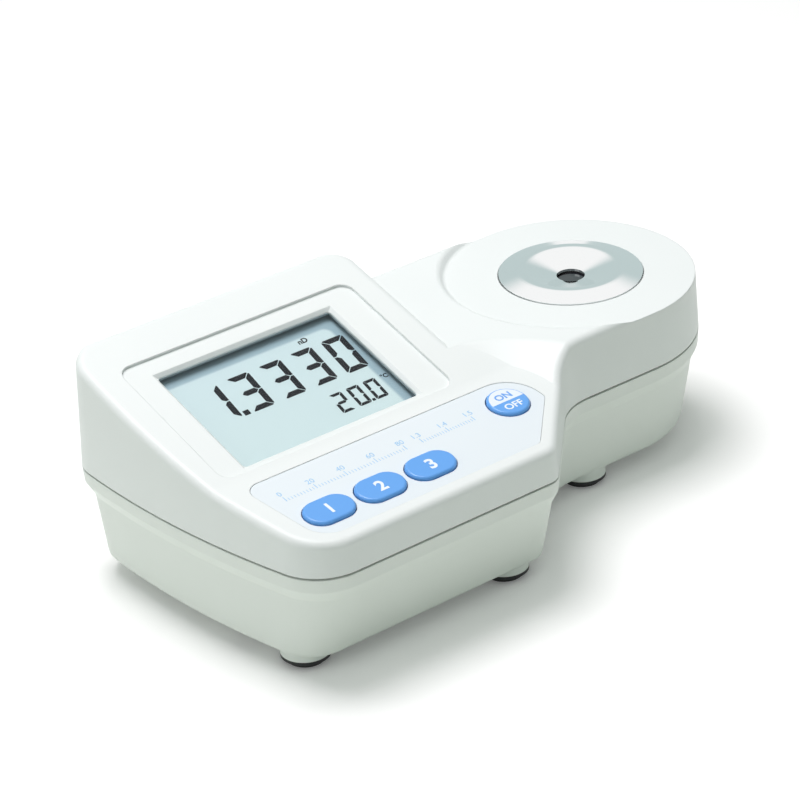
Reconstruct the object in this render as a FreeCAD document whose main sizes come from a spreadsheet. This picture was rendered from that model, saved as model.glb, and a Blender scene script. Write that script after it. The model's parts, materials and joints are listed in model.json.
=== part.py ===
# Digital refractometer: a bench instrument with a sloped display, a keypad and a round sample well.
# Millimetres. X to the user's right, Y away from the user, Z up. The origin is the middle of the
# footprint, on the surface that the rubber feet stand on.
import FreeCAD, Part
import math
import os
import Sketcher

doc = FreeCAD.newDocument("refractometer")
sheet = doc.addObject("Spreadsheet::Sheet", "sizes")

# Driving dimensions: alias, value, what it is
SIZES = [
    ("overall_length", 192.0, "left wall to the far end of the lobe"),
    ("overall_depth", 104.0, "front wall to back wall"),
    ("parting_height", 34.6, "feet to the cover's lower edge"),
    ("parting_gap", 0.6, "seam between the two shells"),
    ("wall", 2.4, "shell wall"),
    ("clearance", 0.3, "gap between pieces that must not touch"),
    ("slip", 0.1, "gap between pieces that fit into each other"),
    ("barrel_radius", 290.0, "bow of the left wall in plan"),
    ("barrel_centre", 30.0, "where the left wall is widest, from mid depth"),
    ("left_corner", 15.0, "front left corner in plan"),
    ("back_corner", 13.0, "back left corner in plan"),
    ("right_corner", 6.0, "front right corner in plan"),
    ("neck_blend", 18.0, "hollow corner between neck and lobe"),
    ("neck_angle", 46.0, "slant of the neck wall, degrees"),
    ("block_front", 91.9, "left wall to where the neck wall would meet the front"),
    ("lobe_front", 29.5, "front wall to the lobe's front wall"),
    ("cover_draft", 2.6, "lean of the cover's walls, degrees"),
    ("front_edge_rise", 9.6, "keypad face at the front edge, above the cover's lower edge"),
    ("keypad_slope", 8.6, "degrees"),
    ("display_slope", 16.0, "degrees"),
    ("bend_distance", 36.8, "front edge to the bend between keypad and display faces"),
    ("bend_round", 12.0, "rounding of that bend"),
    ("display_right", 98.0, "left wall to the display block's right side"),
    ("block_corner", 8.0, "back right corner of the display block in plan"),
    ("deck_rise", 19.2, "deck above the cover's lower edge"),
    ("platform_rise", 17.2, "round platform above the cover's lower edge"),
    ("platform_radius", 37.3, "low edge of the step round the platform"),
    ("platform_flare", 1.6, "how much the step leans out"),
    ("step_round", 1.6, "rounding of the step's upper edge"),
    ("step_hollow", 0.9, "rounding of the step's foot"),
    ("ramp_radius", 37.5, "ramp's top edge in plan"),
    ("ramp_from_left", 88.0, "left wall to the middle of the ramp's curve"),
    ("ramp_from_front", 15.0, "front wall to the middle of the ramp's curve"),
    ("ramp_slope", 25.0, "degrees"),
    ("ramp_round", 5.0, "rounding of the ramp's top edge"),
    ("edge_round", 2.2, "rounding of the cover's upper edges"),
    ("top_round", 3.0, "rounding of the display block's right and back edges"),
    ("lip_height", 4.0, "upright band below the seam"),
    ("lip_lean", 0.2, "how far that band leans in"),
    ("shoulder_height", 3.8, "sloped band below the lip"),
    ("shoulder_step", 2.0, "how far the shoulder moves in"),
    ("floor_height", 4.6, "underside of the case above the feet"),
    ("skirt_front", 9.8, "lean of the front skirt down to the floor"),
    ("skirt_left", 4.2, "lean of the left skirt"),
    ("skirt_back", 4.8, "lean of the back skirt"),
    ("skirt_lobe", 5.6, "lean of the skirt under the lobe's front"),
    ("skirt_neck", 6.0, "lean of the skirt under the neck wall"),
    ("skirt_corner", 3.0, "how much tighter the corners are at the floor"),
    ("skirt_round", 3.0, "rounding of the skirt's lower edge"),
    ("bezel_left", 10.3, "left wall to the recess round the display"),
    ("bezel_right", 88.5, "left wall to the recess's right edge"),
    ("bezel_low", 1.9, "bend to the recess, along the display face"),
    ("bezel_high", 52.9, "bend to the recess's top edge"),
    ("bezel_depth", 0.8, "depth of the recess"),
    ("bezel_corner", 4.0, "corner of the recess"),
    ("view_left", 19.3, "left wall to the window"),
    ("view_right", 77.7, "left wall to the window's right edge"),
    ("view_low", 5.1, "bend to the window, along the display face"),
    ("view_high", 46.0, "bend to the window's top edge"),
    ("view_corner", 1.0, "corner of the window"),
    ("view_bevel", 1.0, "slope round the window's opening"),
    ("pane_drop", 2.1, "display face to the window's surface"),
    ("pane_flange", 1.8, "window's rim under the cover"),
    ("pane_rim", 1.2, "thickness of that rim"),
    ("gasket_thick", 0.4, "flat gaskets"),
    ("lcd_depth", 4.3, "display face to the top of the LCD"),
    ("lcd_thick", 2.2, "LCD glass"),
    ("lcd_margin", 1.4, "LCD glass outside the window's edge"),
    ("holder_margin", 3.3, "LCD holder outside the window's edge"),
    ("strip_height", 2.5, "contact strips under the LCD"),
    ("strip_width", 2.0, "contact strips"),
    ("board_thick", 1.6, "circuit boards"),
    ("lcd_board_ears", 4.6, "LCD board beyond its holder, left and right"),
    ("lcd_screw_low", 11.0, "bend to the LCD board's lower screws"),
    ("lcd_screw_high", 41.0, "bend to the LCD board's upper screws"),
    ("overlay_left", 12.0, "left wall to the keypad sheet at its top"),
    ("overlay_left_low", 17.0, "left wall to the keypad sheet at its foot"),
    ("overlay_low", 4.7, "front edge to the keypad sheet, along the face"),
    ("overlay_high", 33.8, "front edge to the sheet's top edge"),
    ("overlay_right", 105.2, "left wall to the sheet's right end"),
    ("overlay_knee", 20.6, "front edge to the sheet's right corner"),
    ("overlay_foot", 90.0, "left wall to the sheet's lower right corner"),
    ("overlay_bow", 10.5, "corner round the power key"),
    ("overlay_round_left", 8.0, "sheet's lower left corner"),
    ("overlay_round_foot", 3.0, "sheet's lower right corner"),
    ("overlay_round_knee", 1.5, "sheet's right corner"),
    ("overlay_round_top", 4.0, "sheet's upper left corner"),
    ("overlay_depth", 0.6, "recess for the keypad sheet"),
    ("overlay_thick", 0.5, "keypad sheet"),
    ("key_length", 15.1, "long keys"),
    ("key_width", 10.0, "long keys"),
    ("key_first", 25.4, "left wall to the first long key"),
    ("key_pitch", 16.9, "spacing of the long keys"),
    ("key_row", 13.5, "front edge to the row of keys, along the face"),
    ("key_rise", 0.9, "keys above the keypad face"),
    ("key_round", 0.8, "rounding of the keys' tops"),
    ("key_travel", 0.6, "how far a key goes down"),
    ("key_flange", 0.7, "rim of a key under the cover, each side"),
    ("flange_thick", 1.0, "thickness of that rim"),
    ("plunger_radius", 1.6, "pin under each key"),
    ("plunger_length", 1.5, "pin under each key"),
    ("power_radius", 6.05, "round key"),
    ("power_from_left", 94.7, "left wall to the round key"),
    ("power_row", 24.0, "front edge to the round key, along the face"),
    ("dome_radius", 4.0, "snap domes"),
    ("dome_height", 0.35, "snap domes"),
    ("dome_reserve", 0.15, "pin to snap dome when a key is down"),
    ("key_board_low", 6.0, "front edge to the keypad board"),
    ("key_board_high", 31.4, "front edge to the keypad board's far edge"),
    ("key_board_left", 16.0, "left wall to the keypad board"),
    ("key_board_right", 102.5, "left wall to the keypad board's right edge"),
    ("boss_radius", 2.3, "bosses that carry the boards"),
    ("screw_radius", 1.0, "small screws"),
    ("screw_head", 1.9, "small screw heads, radius"),
    ("screw_length", 5.0, "small screws"),
    ("ring_radius", 21.2, "sample well's ring"),
    ("ring_lip", 0.4, "ring's outer edge above the platform"),
    ("ring_crest", 14.6, "radius of the ring's crest"),
    ("ring_rise", 2.0, "crest above the platform, before rounding"),
    ("well_radius", 4.16, "hole over the prism"),
    ("well_drop", 0.8, "hole's edge below the platform"),
    ("well_edge", 0.7, "thickness of the hole's edge"),
    ("crest_round", 7.0, "rounding of the crest"),
    ("ring_seat", 1.2, "ring's underside below the platform"),
    ("well_bore", 8.4, "bore round the prism, radius"),
    ("neck_radius", 13.0, "threaded neck under the ring"),
    ("neck_length", 9.2, "platform to the neck's lower end"),
    ("boss_depth", 5.0, "thick part of the cover under the ring"),
    ("nut_radius", 18.0, "clamping nut"),
    ("nut_height", 3.5, "clamping nut"),
    ("prism_length", 14.0, "prism's top face, left to right"),
    ("prism_width", 7.6, "prism, front to back"),
    ("prism_height", 6.5, "prism"),
    ("prism_foot", 6.0, "prism's lower face, left to right"),
    ("seal_thick", 0.5, "seal over the prism"),
    ("optics_half", 21.0, "optical block's half length"),
    ("optics_width", 30.0, "optical block, front to back"),
    ("optics_angle", 40.0, "light path from the vertical, degrees"),
    ("optics_reach", 22.0, "prism's foot to the sensor face"),
    ("optics_face", 9.0, "half length of the slanted faces"),
    ("light_bore", 3.0, "bore for the light source"),
    ("sensor_bore", 4.5, "bore for the lens"),
    ("lens_thick", 2.4, "focus lens"),
    ("lens_place", 12.0, "prism's foot to the lens"),
    ("optics_screw_x", 17.5, "optical block's screws from its middle"),
    ("optics_screw_y", 11.5, "optical block's screws from its middle"),
    ("battery_length", 48.5, "9 V block battery"),
    ("battery_width", 26.5, "9 V block battery"),
    ("battery_height", 17.5, "9 V block battery"),
    ("battery_x", 52.0, "left wall to the battery cover's middle"),
    ("battery_from_back", 46.0, "back wall to the battery cover's middle"),
    ("battery_shift", 2.0, "battery's middle left of the cover's middle"),
    ("terminal_length", 2.6, "battery's two terminals"),
    ("snap_thick", 3.8, "battery snap"),
    ("snap_length", 24.0, "battery snap"),
    ("snap_width", 13.0, "battery snap"),
    ("pocket_wall", 1.2, "walls round the battery"),
    ("pocket_play", 0.7, "room beyond the battery's closed end"),
    ("lead_room", 4.4, "room for the leads beyond the snap"),
    ("lead_radius", 0.7, "battery leads"),
    ("lead_stub", 0.8, "straight start of a lead"),
    ("lead_bend", 1.5, "bend of a lead"),
    ("lid_radius", 33.5, "battery cover"),
    ("lid_thick", 2.0, "battery cover's disc"),
    ("collar_wall", 2.7, "thick ring outside the battery cover"),
    ("lid_ledge", 5.0, "battery cover beyond the opening for the battery"),
    ("plug_wall", 1.8, "thickness of the battery cover's rim"),
    ("lug_reach", 2.1, "bayonet lugs beyond that rim"),
    ("lug_angle", 30.0, "width of a lug, degrees"),
    ("notch_angle", 36.0, "width of a notch, degrees"),
    ("lug_height", 1.6, "bayonet lugs"),
    ("lip_ring", 1.8, "ledge that the lugs catch on"),
    ("seal_inset", 2.1, "battery cover's edge to the middle of its seal"),
    ("seal_section", 1.2, "battery cover's seal"),
    ("coin_length", 24.0, "coin slot"),
    ("coin_width", 2.4, "coin slot"),
    ("coin_depth", 1.0, "coin slot"),
    ("main_board_drop", 3.0, "main board's underside below the seam"),
    ("main_length", 64.0, "main board, left to right"),
    ("main_width", 66.0, "main board, front to back"),
    ("main_inset_x", 6.0, "main board's sides to its screws"),
    ("main_inset_y", 3.0, "main board's front and back to its screws"),
    ("post_radius", 3.0, "posts under the main board"),
    ("column_radius", 4.0, "columns round the case screws"),
    ("column_left", 11.5, "left wall to the first case screw"),
    ("column_rear_left", 26.0, "left wall to the rear case screw"),
    ("column_right", 6.0, "display block's right side to the case screws beside it"),
    ("column_lobe", 8.75, "lobe's end to its case screw"),
    ("case_screw_radius", 1.5, "case screws"),
    ("case_head_radius", 2.8, "case screws' heads"),
    ("case_head_z", 9.0, "case screws' heads above the feet"),
    ("case_screw_length", 32.0, "case screws"),
    ("foot_left", 19.5, "left wall to the left feet"),
    ("foot_front", 20.5, "front wall to the front left foot"),
    ("foot_right", 86.0, "left wall to the front right foot"),
    ("foot_right_front", 17.5, "front wall to the front right foot"),
    ("foot_back", 13.0, "back wall to the rear left foot"),
    ("foot_lobe_left", 18.75, "lobe's middle to its feet, leftwards"),
    ("foot_lobe_inset", 12.5, "lobe's front and back walls to its feet"),
    ("foot_radius", 5.3, "rubber feet"),
    ("foot_seat", 2.4, "feet go up this far into their bosses"),
    ("foot_boss_radius", 7.0, "bosses round the feet"),
    ("foot_boss_z", 1.6, "bosses' lower edge above the table"),
    ("foot_peg_radius", 2.0, "feet's pegs"),
    ("foot_peg_top", 7.0, "top of the pegs above the table"),
]


def cell_fill(rows):
    for i, (alias, value, note) in enumerate(rows, start=1):
        sheet.set("A%d" % i, alias)
        sheet.set("B%d" % i, str(value))
        sheet.set("C%d" % i, note)
        sheet.setAlias("B%d" % i, alias)


cell_fill(SIZES)
doc.recompute()


def val(expression):
    """Number that an expression on the sheet gives."""
    result = sheet.evalExpression(expression)
    return float(getattr(result, "Value", result))


def rad(expression):
    return math.radians(val(expression))


def polar(cx, cy, r, angle):
    return FreeCAD.Vector(cx + r * math.cos(angle), cy + r * math.sin(angle), 0)


def arc(cx, cy, r, start, end):
    circle = Part.Circle(FreeCAD.Vector(cx, cy, 0), FreeCAD.Vector(0, 0, 1), r)
    return Part.ArcOfCircle(circle, start, end)


def origin_plane(body, role):
    for feature in body.Origin.OriginFeatures:
        if feature.Role == role:
            return feature
    raise ValueError(role)


def new_sketch(body, name, level="0", role="XY_Plane"):
    sketch = body.newObject("Sketcher::SketchObject", name)
    sketch.AttachmentSupport = [(origin_plane(body, role), "")]
    sketch.MapMode = "FlatFace"
    sketch.setExpression("AttachmentOffset.Base.z", level)
    return sketch


def bind(sketch, kind, args, expression):
    """Add a dimension constraint and tie it to the sheet."""
    index = sketch.addConstraint(Sketcher.Constraint(kind, *args, val(expression)))
    sketch.setExpression("Constraints[%d]" % index, expression)
    return index


def plan_outline(body, name, level, front="0", left="0", back="0", lobe="0", neck="0", trim="0"):
    """Closed plan of the instrument at one level, each wall moved in by its own inset."""
    half_x, half_y = val("sizes.overall_length") / 2, val("sizes.overall_depth") / 2
    y_front = -half_y + val(front)
    y_lobe = -half_y + val("sizes.lobe_front") + val(lobe)
    y_back = half_y - val(back)
    angle = rad("sizes.neck_angle")
    r_lobe = (y_back - y_lobe) / 2
    lobe_x = half_x - (2 * half_y - val("sizes.lobe_front")) / 2
    barrel_x, barrel_y = -half_x + val("sizes.barrel_radius"), val("sizes.barrel_centre")
    r_barrel = val("sizes.barrel_radius") - val(left)
    r_left, r_back = val("sizes.left_corner") - val(trim), val("sizes.back_corner") - val(trim)
    r_right = val("sizes.right_corner") - val(trim) / 2
    r_neck = val("sizes.neck_blend") + val(trim)
    # The neck wall crosses the front line here
    cross_x = (-half_x + val("sizes.block_front") + val(front) / math.tan(angle)
               - val(neck) / math.sin(angle))
    front_end = cross_x - r_right * math.tan(angle / 2)
    neck_top = FreeCAD.Vector(cross_x + (y_lobe - y_front) / math.tan(angle), y_lobe, 0)
    lobe_start = neck_top.x + r_neck * math.tan(angle / 2)
    right_c = (front_end, y_front + r_right)
    neck_c = (lobe_start, y_lobe - r_neck)
    back_c = (barrel_x - math.sqrt((r_barrel - r_back) ** 2 - (y_back - r_back - barrel_y) ** 2),
              y_back - r_back)
    left_c = (barrel_x - math.sqrt((r_barrel - r_left) ** 2 - (barrel_y - y_front - r_left) ** 2),
              y_front + r_left)
    a_back = math.atan2(back_c[1] - barrel_y, back_c[0] - barrel_x) % (2 * math.pi)
    a_left = math.atan2(left_c[1] - barrel_y, left_c[0] - barrel_x) % (2 * math.pi)
    quarter = math.pi / 2
    lobe_y = (y_lobe + y_back) / 2
    neck_low = polar(*right_c, r_right, angle - quarter)
    neck_high = polar(*neck_c, r_neck, angle + quarter)
    vec = FreeCAD.Vector
    sketch = new_sketch(body, name, level)
    sketch.addGeometry([
        Part.LineSegment(vec(left_c[0], y_front, 0), vec(front_end, y_front, 0)),
        arc(*right_c, r_right, -quarter, angle - quarter),
        Part.LineSegment(neck_low, neck_high),
        arc(*neck_c, r_neck, quarter, quarter + angle),
        Part.LineSegment(vec(lobe_start, y_lobe, 0), vec(lobe_x, y_lobe, 0)),
        arc(lobe_x, lobe_y, r_lobe, -quarter, quarter),
        Part.LineSegment(vec(lobe_x, y_back, 0), vec(back_c[0], y_back, 0)),
        arc(*back_c, r_back, quarter, a_back),
        arc(barrel_x, barrel_y, r_barrel, a_back, a_left),
        arc(*left_c, r_left, a_left, 3 * quarter),
    ], False)
    joints = [(0, 2, 1, 1), (1, 2, 2, 1), (2, 2, 3, 2), (3, 1, 4, 1), (4, 2, 5, 1),
              (5, 2, 6, 1), (6, 2, 7, 1), (7, 2, 8, 1), (8, 2, 9, 1), (9, 2, 0, 1)]
    for joint in joints:
        sketch.addConstraint(Sketcher.Constraint("Tangent", *joint))
    for line in (0, 4, 6):
        sketch.addConstraint(Sketcher.Constraint("Horizontal", line))
    half_depth, half_length = "sizes.overall_depth / 2", "sizes.overall_length / 2"
    bind(sketch, "DistanceY", (0, 1, -1, 1), half_depth + " - (%s)" % front)
    bind(sketch, "DistanceY", (4, 1, -1, 1), half_depth + " - sizes.lobe_front - (%s)" % lobe)
    bind(sketch, "DistanceY", (-1, 1, 6, 1), half_depth + " - (%s)" % back)
    bind(sketch, "DistanceX", (-1, 1, 5, 3),
         half_length + " - (sizes.overall_depth - sizes.lobe_front) / 2")
    bind(sketch, "DistanceX", (-1, 1, 8, 3), "sizes.barrel_radius - " + half_length)
    bind(sketch, "DistanceY", (-1, 1, 8, 3), "sizes.barrel_centre")
    bind(sketch, "Radius", (8,), "sizes.barrel_radius - (%s)" % left)
    bind(sketch, "Radius", (9,), "sizes.left_corner - (%s)" % trim)
    bind(sketch, "Radius", (7,), "sizes.back_corner - (%s)" % trim)
    bind(sketch, "Radius", (1,), "sizes.right_corner - (%s) / 2" % trim)
    bind(sketch, "Radius", (3,), "sizes.neck_blend + (%s)" % trim)
    index = sketch.addConstraint(Sketcher.Constraint("Angle", 2, angle))
    sketch.setExpression("Constraints[%d]" % index, "sizes.neck_angle * 1 deg")
    bind(sketch, "DistanceX", (0, 2, 8, 3),
         "sizes.barrel_radius - sizes.block_front - (%s) / tan(sizes.neck_angle * 1 deg)"
         " + (%s) / sin(sizes.neck_angle * 1 deg)"
         " + (sizes.right_corner - (%s) / 2) * tan(sizes.neck_angle * 0.5 deg)" % (front, neck, trim))
    return sketch


def new_body(name):
    return doc.addObject("PartDesign::Body", name)


def loft(body, name, sketches):
    solid = body.newObject("PartDesign::AdditiveLoft", name)
    solid.Profile = sketches[0]
    solid.Sections = sketches[1:]
    solid.Ruled = True
    return solid


def pad(body, sketch, length, taper=None):
    solid = body.newObject("PartDesign::Pad", sketch.Name + "_pad")
    solid.Profile = sketch
    solid.setExpression("Length", length)
    if taper:
        solid.TaperAngle = -val(taper)
        solid.setExpression("TaperAngle", taper + " * -1 deg")
    return solid


def place(obj, x="0", y="0", z="0", tilt=None, axis=(1, 0, 0)):
    obj.setExpression("Placement.Base.x", x)
    obj.setExpression("Placement.Base.y", y)
    obj.setExpression("Placement.Base.z", z)
    if tilt:
        obj.Placement.Rotation = FreeCAD.Rotation(FreeCAD.Vector(*axis), val(tilt))
        obj.setExpression("Placement.Rotation.Angle", "(%s) * 1 deg" % tilt)
    return obj


def block(name, length, width, height, x="0", y="0", z="0"):
    """Box centred on x and y, standing on z."""
    obj = doc.addObject("Part::Box", name)
    for prop, size in (("Length", length), ("Width", width), ("Height", height)):
        obj.setExpression(prop, size)
    return place(obj, "%s - (%s) / 2" % (x, length), "%s - (%s) / 2" % (y, width), z)


def cylinder(name, radius, height, x="0", y="0", z="0", tilt=None, axis=(1, 0, 0)):
    obj = doc.addObject("Part::Cylinder", name)
    obj.setExpression("Radius", radius)
    obj.setExpression("Height", height)
    return place(obj, x, y, z, tilt, axis)


def cone(name, low_radius, high_radius, height, x, y, z):
    obj = doc.addObject("Part::Cone", name)
    obj.setExpression("Radius1", low_radius)
    obj.setExpression("Radius2", high_radius)
    obj.setExpression("Height", height)
    return place(obj, x, y, z)


def combine(kind, name, first, *others):
    """Part boolean: Cut and Common take two shapes, Fuse any number."""
    if kind == "Fuse":
        obj = doc.addObject("Part::MultiFuse", name)
        obj.Shapes = [first, *others]
    else:
        obj = doc.addObject("Part::" + kind, name)
        obj.Base = first
        obj.Tool = others[0] if len(others) == 1 else combine("Fuse", name + "_tools", *others)
    return obj


def group(name, members):
    """Separate solids kept as one sub-part."""
    obj = doc.addObject("Part::Compound", name)
    obj.Links = members
    return obj


def ring(name, outer, inner, height, x, y, z):
    return combine("Cut", name, cylinder(name + "_disc", outer, height, x, y, z),
                   cylinder(name + "_hole", inner, "%s + 2" % height, x, y, "%s - 1" % z))


def polygon(body, name, points, level="0", role="XY_Plane"):
    """Closed sketch whose corners are tied to the sheet."""
    sketch = new_sketch(body, name, level, role)
    places = [FreeCAD.Vector(val(a), val(b), 0) for a, b in points]
    count = len(places)
    for i in range(count):
        sketch.addGeometry(Part.LineSegment(places[i], places[(i + 1) % count]), False)
    for i in range(count):
        sketch.addConstraint(Sketcher.Constraint("Coincident", i, 2, (i + 1) % count, 1))
    for i, (a, b) in enumerate(points):
        bind(sketch, "DistanceX", (-1, 1, i, 1), a)
        bind(sketch, "DistanceY", (-1, 1, i, 1), b)
    return sketch


def fillet(body, name, feature, edges, radius):
    """Round the named edges of a body's last feature."""
    rounded = body.newObject("PartDesign::Fillet", name)
    rounded.Base = (feature, ["Edge%d" % i for i in edges])
    rounded.Radius = val(radius)
    rounded.setExpression("Radius", radius)
    return rounded


def edges_at(shape, spots):
    """Numbers of the edges that pass nearest to each spot."""
    found = []
    for spot in spots:
        vertex = Part.Vertex(FreeCAD.Vector(*spot))
        gaps = [edge.distToShape(vertex)[0] for edge in shape.Edges]
        found.append(gaps.index(min(gaps)) + 1)
    return found


def plate(name, points, low, thick, rounds=(), taper=None):
    """Flat piece with a polygon outline; rounds gives each corner's radius in turn."""
    body = new_body(name)
    solid = pad(body, polygon(body, name + "_outline", points, low), thick, taper)
    for step, radius in enumerate(dict.fromkeys(rounds)):
        doc.recompute()
        middle = val(low) + val(thick) / 2
        spots = [(val(x), val(y), middle) for (x, y), own in zip(points, rounds) if own == radius]
        solid = fillet(body, "%s_corners%d" % (name, step), solid, edges_at(solid.Shape, spots), radius)
    return body


def rectangle(left, right, low, high):
    return [(left, low), (right, low), (right, high), (left, high)]


def stadium(body, name, level, x, y, length, width):
    """Sketch of a slot shape, long along X."""
    cx, cy, r = val(x), val(y), val(width) / 2
    half = val(length) / 2 - r
    quarter = math.pi / 2
    sketch = new_sketch(body, name, level)
    sketch.addGeometry([
        Part.LineSegment(FreeCAD.Vector(cx - half, cy - r, 0), FreeCAD.Vector(cx + half, cy - r, 0)),
        arc(cx + half, cy, r, -quarter, quarter),
        Part.LineSegment(FreeCAD.Vector(cx + half, cy + r, 0), FreeCAD.Vector(cx - half, cy + r, 0)),
        arc(cx - half, cy, r, quarter, 3 * quarter),
    ], False)
    for joint in ((0, 2, 1, 1), (1, 2, 2, 1), (2, 2, 3, 1), (3, 2, 0, 1)):
        sketch.addConstraint(Sketcher.Constraint("Tangent", *joint))
    sketch.addConstraint(Sketcher.Constraint("Horizontal", 0))
    bind(sketch, "Radius", (1,), "(%s) / 2" % width)
    bind(sketch, "DistanceX", (3, 3, 1, 3), "(%s) - (%s)" % (length, width))
    bind(sketch, "DistanceX", (-1, 1, 1, 3), "(%s) + ((%s) - (%s)) / 2" % (x, length, width))
    bind(sketch, "DistanceY", (-1, 1, 1, 3), y)
    return sketch


def circle(body, name, level, x, y, radius):
    sketch = new_sketch(body, name, level)
    sketch.addGeometry(Part.Circle(FreeCAD.Vector(val(x), val(y), 0), FreeCAD.Vector(0, 0, 1),
                                   val(radius)), False)
    bind(sketch, "Radius", (0,), radius)
    bind(sketch, "DistanceX", (-1, 1, 0, 3), x)
    bind(sketch, "DistanceY", (-1, 1, 0, 3), y)
    return sketch


def turned(name, points, x, y):
    """Solid of revolution about a vertical axis from radius and height pairs."""
    body = new_body(name)
    sketch = polygon(body, name + "_profile", points, "0", "XZ_Plane")
    solid = body.newObject("PartDesign::Revolution", name + "_turn")
    solid.Profile = sketch
    solid.ReferenceAxis = (sketch, ["V_Axis"])
    solid.Angle = 360
    place(body, x, y)
    return body


FRONT = "-sizes.overall_depth / 2"
LEFT = "-sizes.overall_length / 2"
LOBE_R = "(sizes.overall_depth - sizes.lobe_front) / 2"
LOBE_X = "(sizes.overall_length / 2 - %s)" % LOBE_R
LOBE_Y = "(sizes.overall_depth / 2 - %s)" % LOBE_R
KEY_TILT = "tan(sizes.keypad_slope * 1 deg)"
DISPLAY_TILT = "tan(sizes.display_slope * 1 deg)"
BASE = "sizes.parting_height"
SEAM = "(sizes.parting_height - sizes.parting_gap)"
DECK = "(sizes.parting_height + sizes.deck_rise)"
PLATFORM = "(sizes.parting_height + sizes.platform_rise)"
FLOOR = "sizes.floor_height"
EDGE_Z = "(sizes.parting_height + sizes.front_edge_rise)"
BEND_Y = "(%s + sizes.bend_distance)" % FRONT
BEND_Z = "(%s + sizes.bend_distance * %s)" % (EDGE_Z, KEY_TILT)
LID_X = "(%s + sizes.battery_x)" % LEFT
LID_Y = "(-(%s) - sizes.battery_from_back)" % FRONT
# Sloped faces: where the face starts and how far it tilts. On them Y runs up the slope, Z off it
KEYPAD = (FRONT, EDGE_Z, "sizes.keypad_slope")
DISPLAY = (BEND_Y, BEND_Z, "sizes.display_slope")

KEY_BOARD_TOP = ("(sizes.wall + sizes.clearance + sizes.flange_thick + sizes.plunger_length"
                 " + sizes.key_travel + sizes.dome_reserve + sizes.dome_height)")
LCD_BOARD_TOP = "(sizes.lcd_depth + sizes.lcd_thick + sizes.strip_height)"
# Back edge of the LCD's holder, and the middle between it and the back wall
HOLDER_END = ("(%s + (sizes.view_high + sizes.holder_margin) * cos(sizes.display_slope * 1 deg)"
              " + %s * sin(sizes.display_slope * 1 deg))" % (BEND_Y, LCD_BOARD_TOP))
REAR_Y = "((%s - (%s)) / 2)" % (HOLDER_END, FRONT)

FEET = {
    "foot_front_left": (LEFT + " + sizes.foot_left", FRONT + " + sizes.foot_front"),
    "foot_front_right": (LEFT + " + sizes.foot_right", FRONT + " + sizes.foot_right_front"),
    "foot_rear_left": (LEFT + " + sizes.foot_left", "-(%s) - sizes.foot_back" % FRONT),
    "foot_lobe_front": (LOBE_X + " - sizes.foot_lobe_left",
                        "%s - %s + sizes.foot_lobe_inset" % (LOBE_Y, LOBE_R)),
    "foot_lobe_rear": (LOBE_X + " - sizes.foot_lobe_left",
                       "%s + %s - sizes.foot_lobe_inset" % (LOBE_Y, LOBE_R)),
}
CASE_SCREWS = [
    (LEFT + " + sizes.column_left", BEND_Y),
    (LEFT + " + sizes.display_right - sizes.column_right", BEND_Y),
    (LEFT + " + sizes.column_rear_left", REAR_Y),
    (LEFT + " + sizes.display_right - sizes.column_right", REAR_Y),
    ("%s + %s - sizes.column_lobe" % (LOBE_X, LOBE_R), LOBE_Y),
]
MAIN_X = "(%s + 3)" % LID_X
MAIN_Y = "(%s - 0.5)" % LID_Y
MAIN_SCREWS = [("%s + %d * (sizes.main_length / 2 - sizes.main_inset_x)" % (MAIN_X, a),
                "%s + %d * (sizes.main_width / 2 - sizes.main_inset_y)" % (MAIN_Y, b))
               for a in (-1, 1) for b in (-1, 1)]
MAIN_Z = "(%s - sizes.main_board_drop)" % SEAM
# Battery cover, from its edge inwards
COLLAR_R = "(sizes.lid_radius + sizes.collar_wall)"
OPENING_R = "(sizes.lid_radius - sizes.lid_ledge)"
PLUG_R = "(%s - sizes.clearance)" % OPENING_R
LUG_R = "(%s + sizes.lug_reach)" % PLUG_R
CHANNEL_R = "(%s + sizes.clearance + sizes.slip)" % LUG_R
SEAL_R = "(sizes.lid_radius - sizes.seal_inset)"


def on_slope(obj, slope, x="0", along="0", off="0"):
    """Lay an object on a sloped face, at a place given along the face and off it."""
    y, z, tilt = slope
    angle = tilt + " * 1 deg"
    return place(obj, x, "%s + (%s) * cos(%s) - (%s) * sin(%s)" % (y, along, angle, off, angle),
                 "%s + (%s) * sin(%s) + (%s) * cos(%s)" % (z, along, angle, off, angle), tilt)


def slope_cut(body, name, drop, right=None):
    """Take away from a body all that lies above the keypad and display faces."""
    points = [(FRONT + " - 20", "%s - 20 * %s - (%s)" % (EDGE_Z, KEY_TILT, drop)),
              (BEND_Y, "%s - (%s)" % (BEND_Z, drop)),
              (BEND_Y + " + 90", "%s + 90 * %s - (%s)" % (BEND_Z, DISPLAY_TILT, drop)),
              (BEND_Y + " + 90", BASE + " + 90"),
              (FRONT + " - 20", BASE + " + 90")]
    sketch = polygon(body, name, points, "0", "YZ_Plane")
    pocket = body.newObject("PartDesign::Pocket", name + "_pocket")
    pocket.Profile = sketch
    pocket.Midplane = True
    pocket.setExpression("Length", "sizes.overall_length + 20")
    return pocket


def rim_edges(shape, low):
    """Edges between a wall and a face that looks up, above the given level."""
    numbers = []
    for number, edge in enumerate(shape.Edges, start=1):
        faces = [face for face in shape.Faces if any(other.isSame(edge) for other in face.Edges)]
        ups = []
        for face in faces:
            u_low, u_high, v_low, v_high = face.ParameterRange
            ups.append(face.normalAt((u_low + u_high) / 2, (v_low + v_high) / 2).z > 0.75)
        if len(faces) == 2 and ups.count(True) == 1 and edge.BoundBox.ZMin > low:
            numbers.append(number)
    return numbers


def walls(body, name, inset, height):
    sketch = plan_outline(body, name, BASE, inset, inset, inset, inset, inset, inset)
    return pad(body, sketch, height, "sizes.cover_draft")


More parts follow.
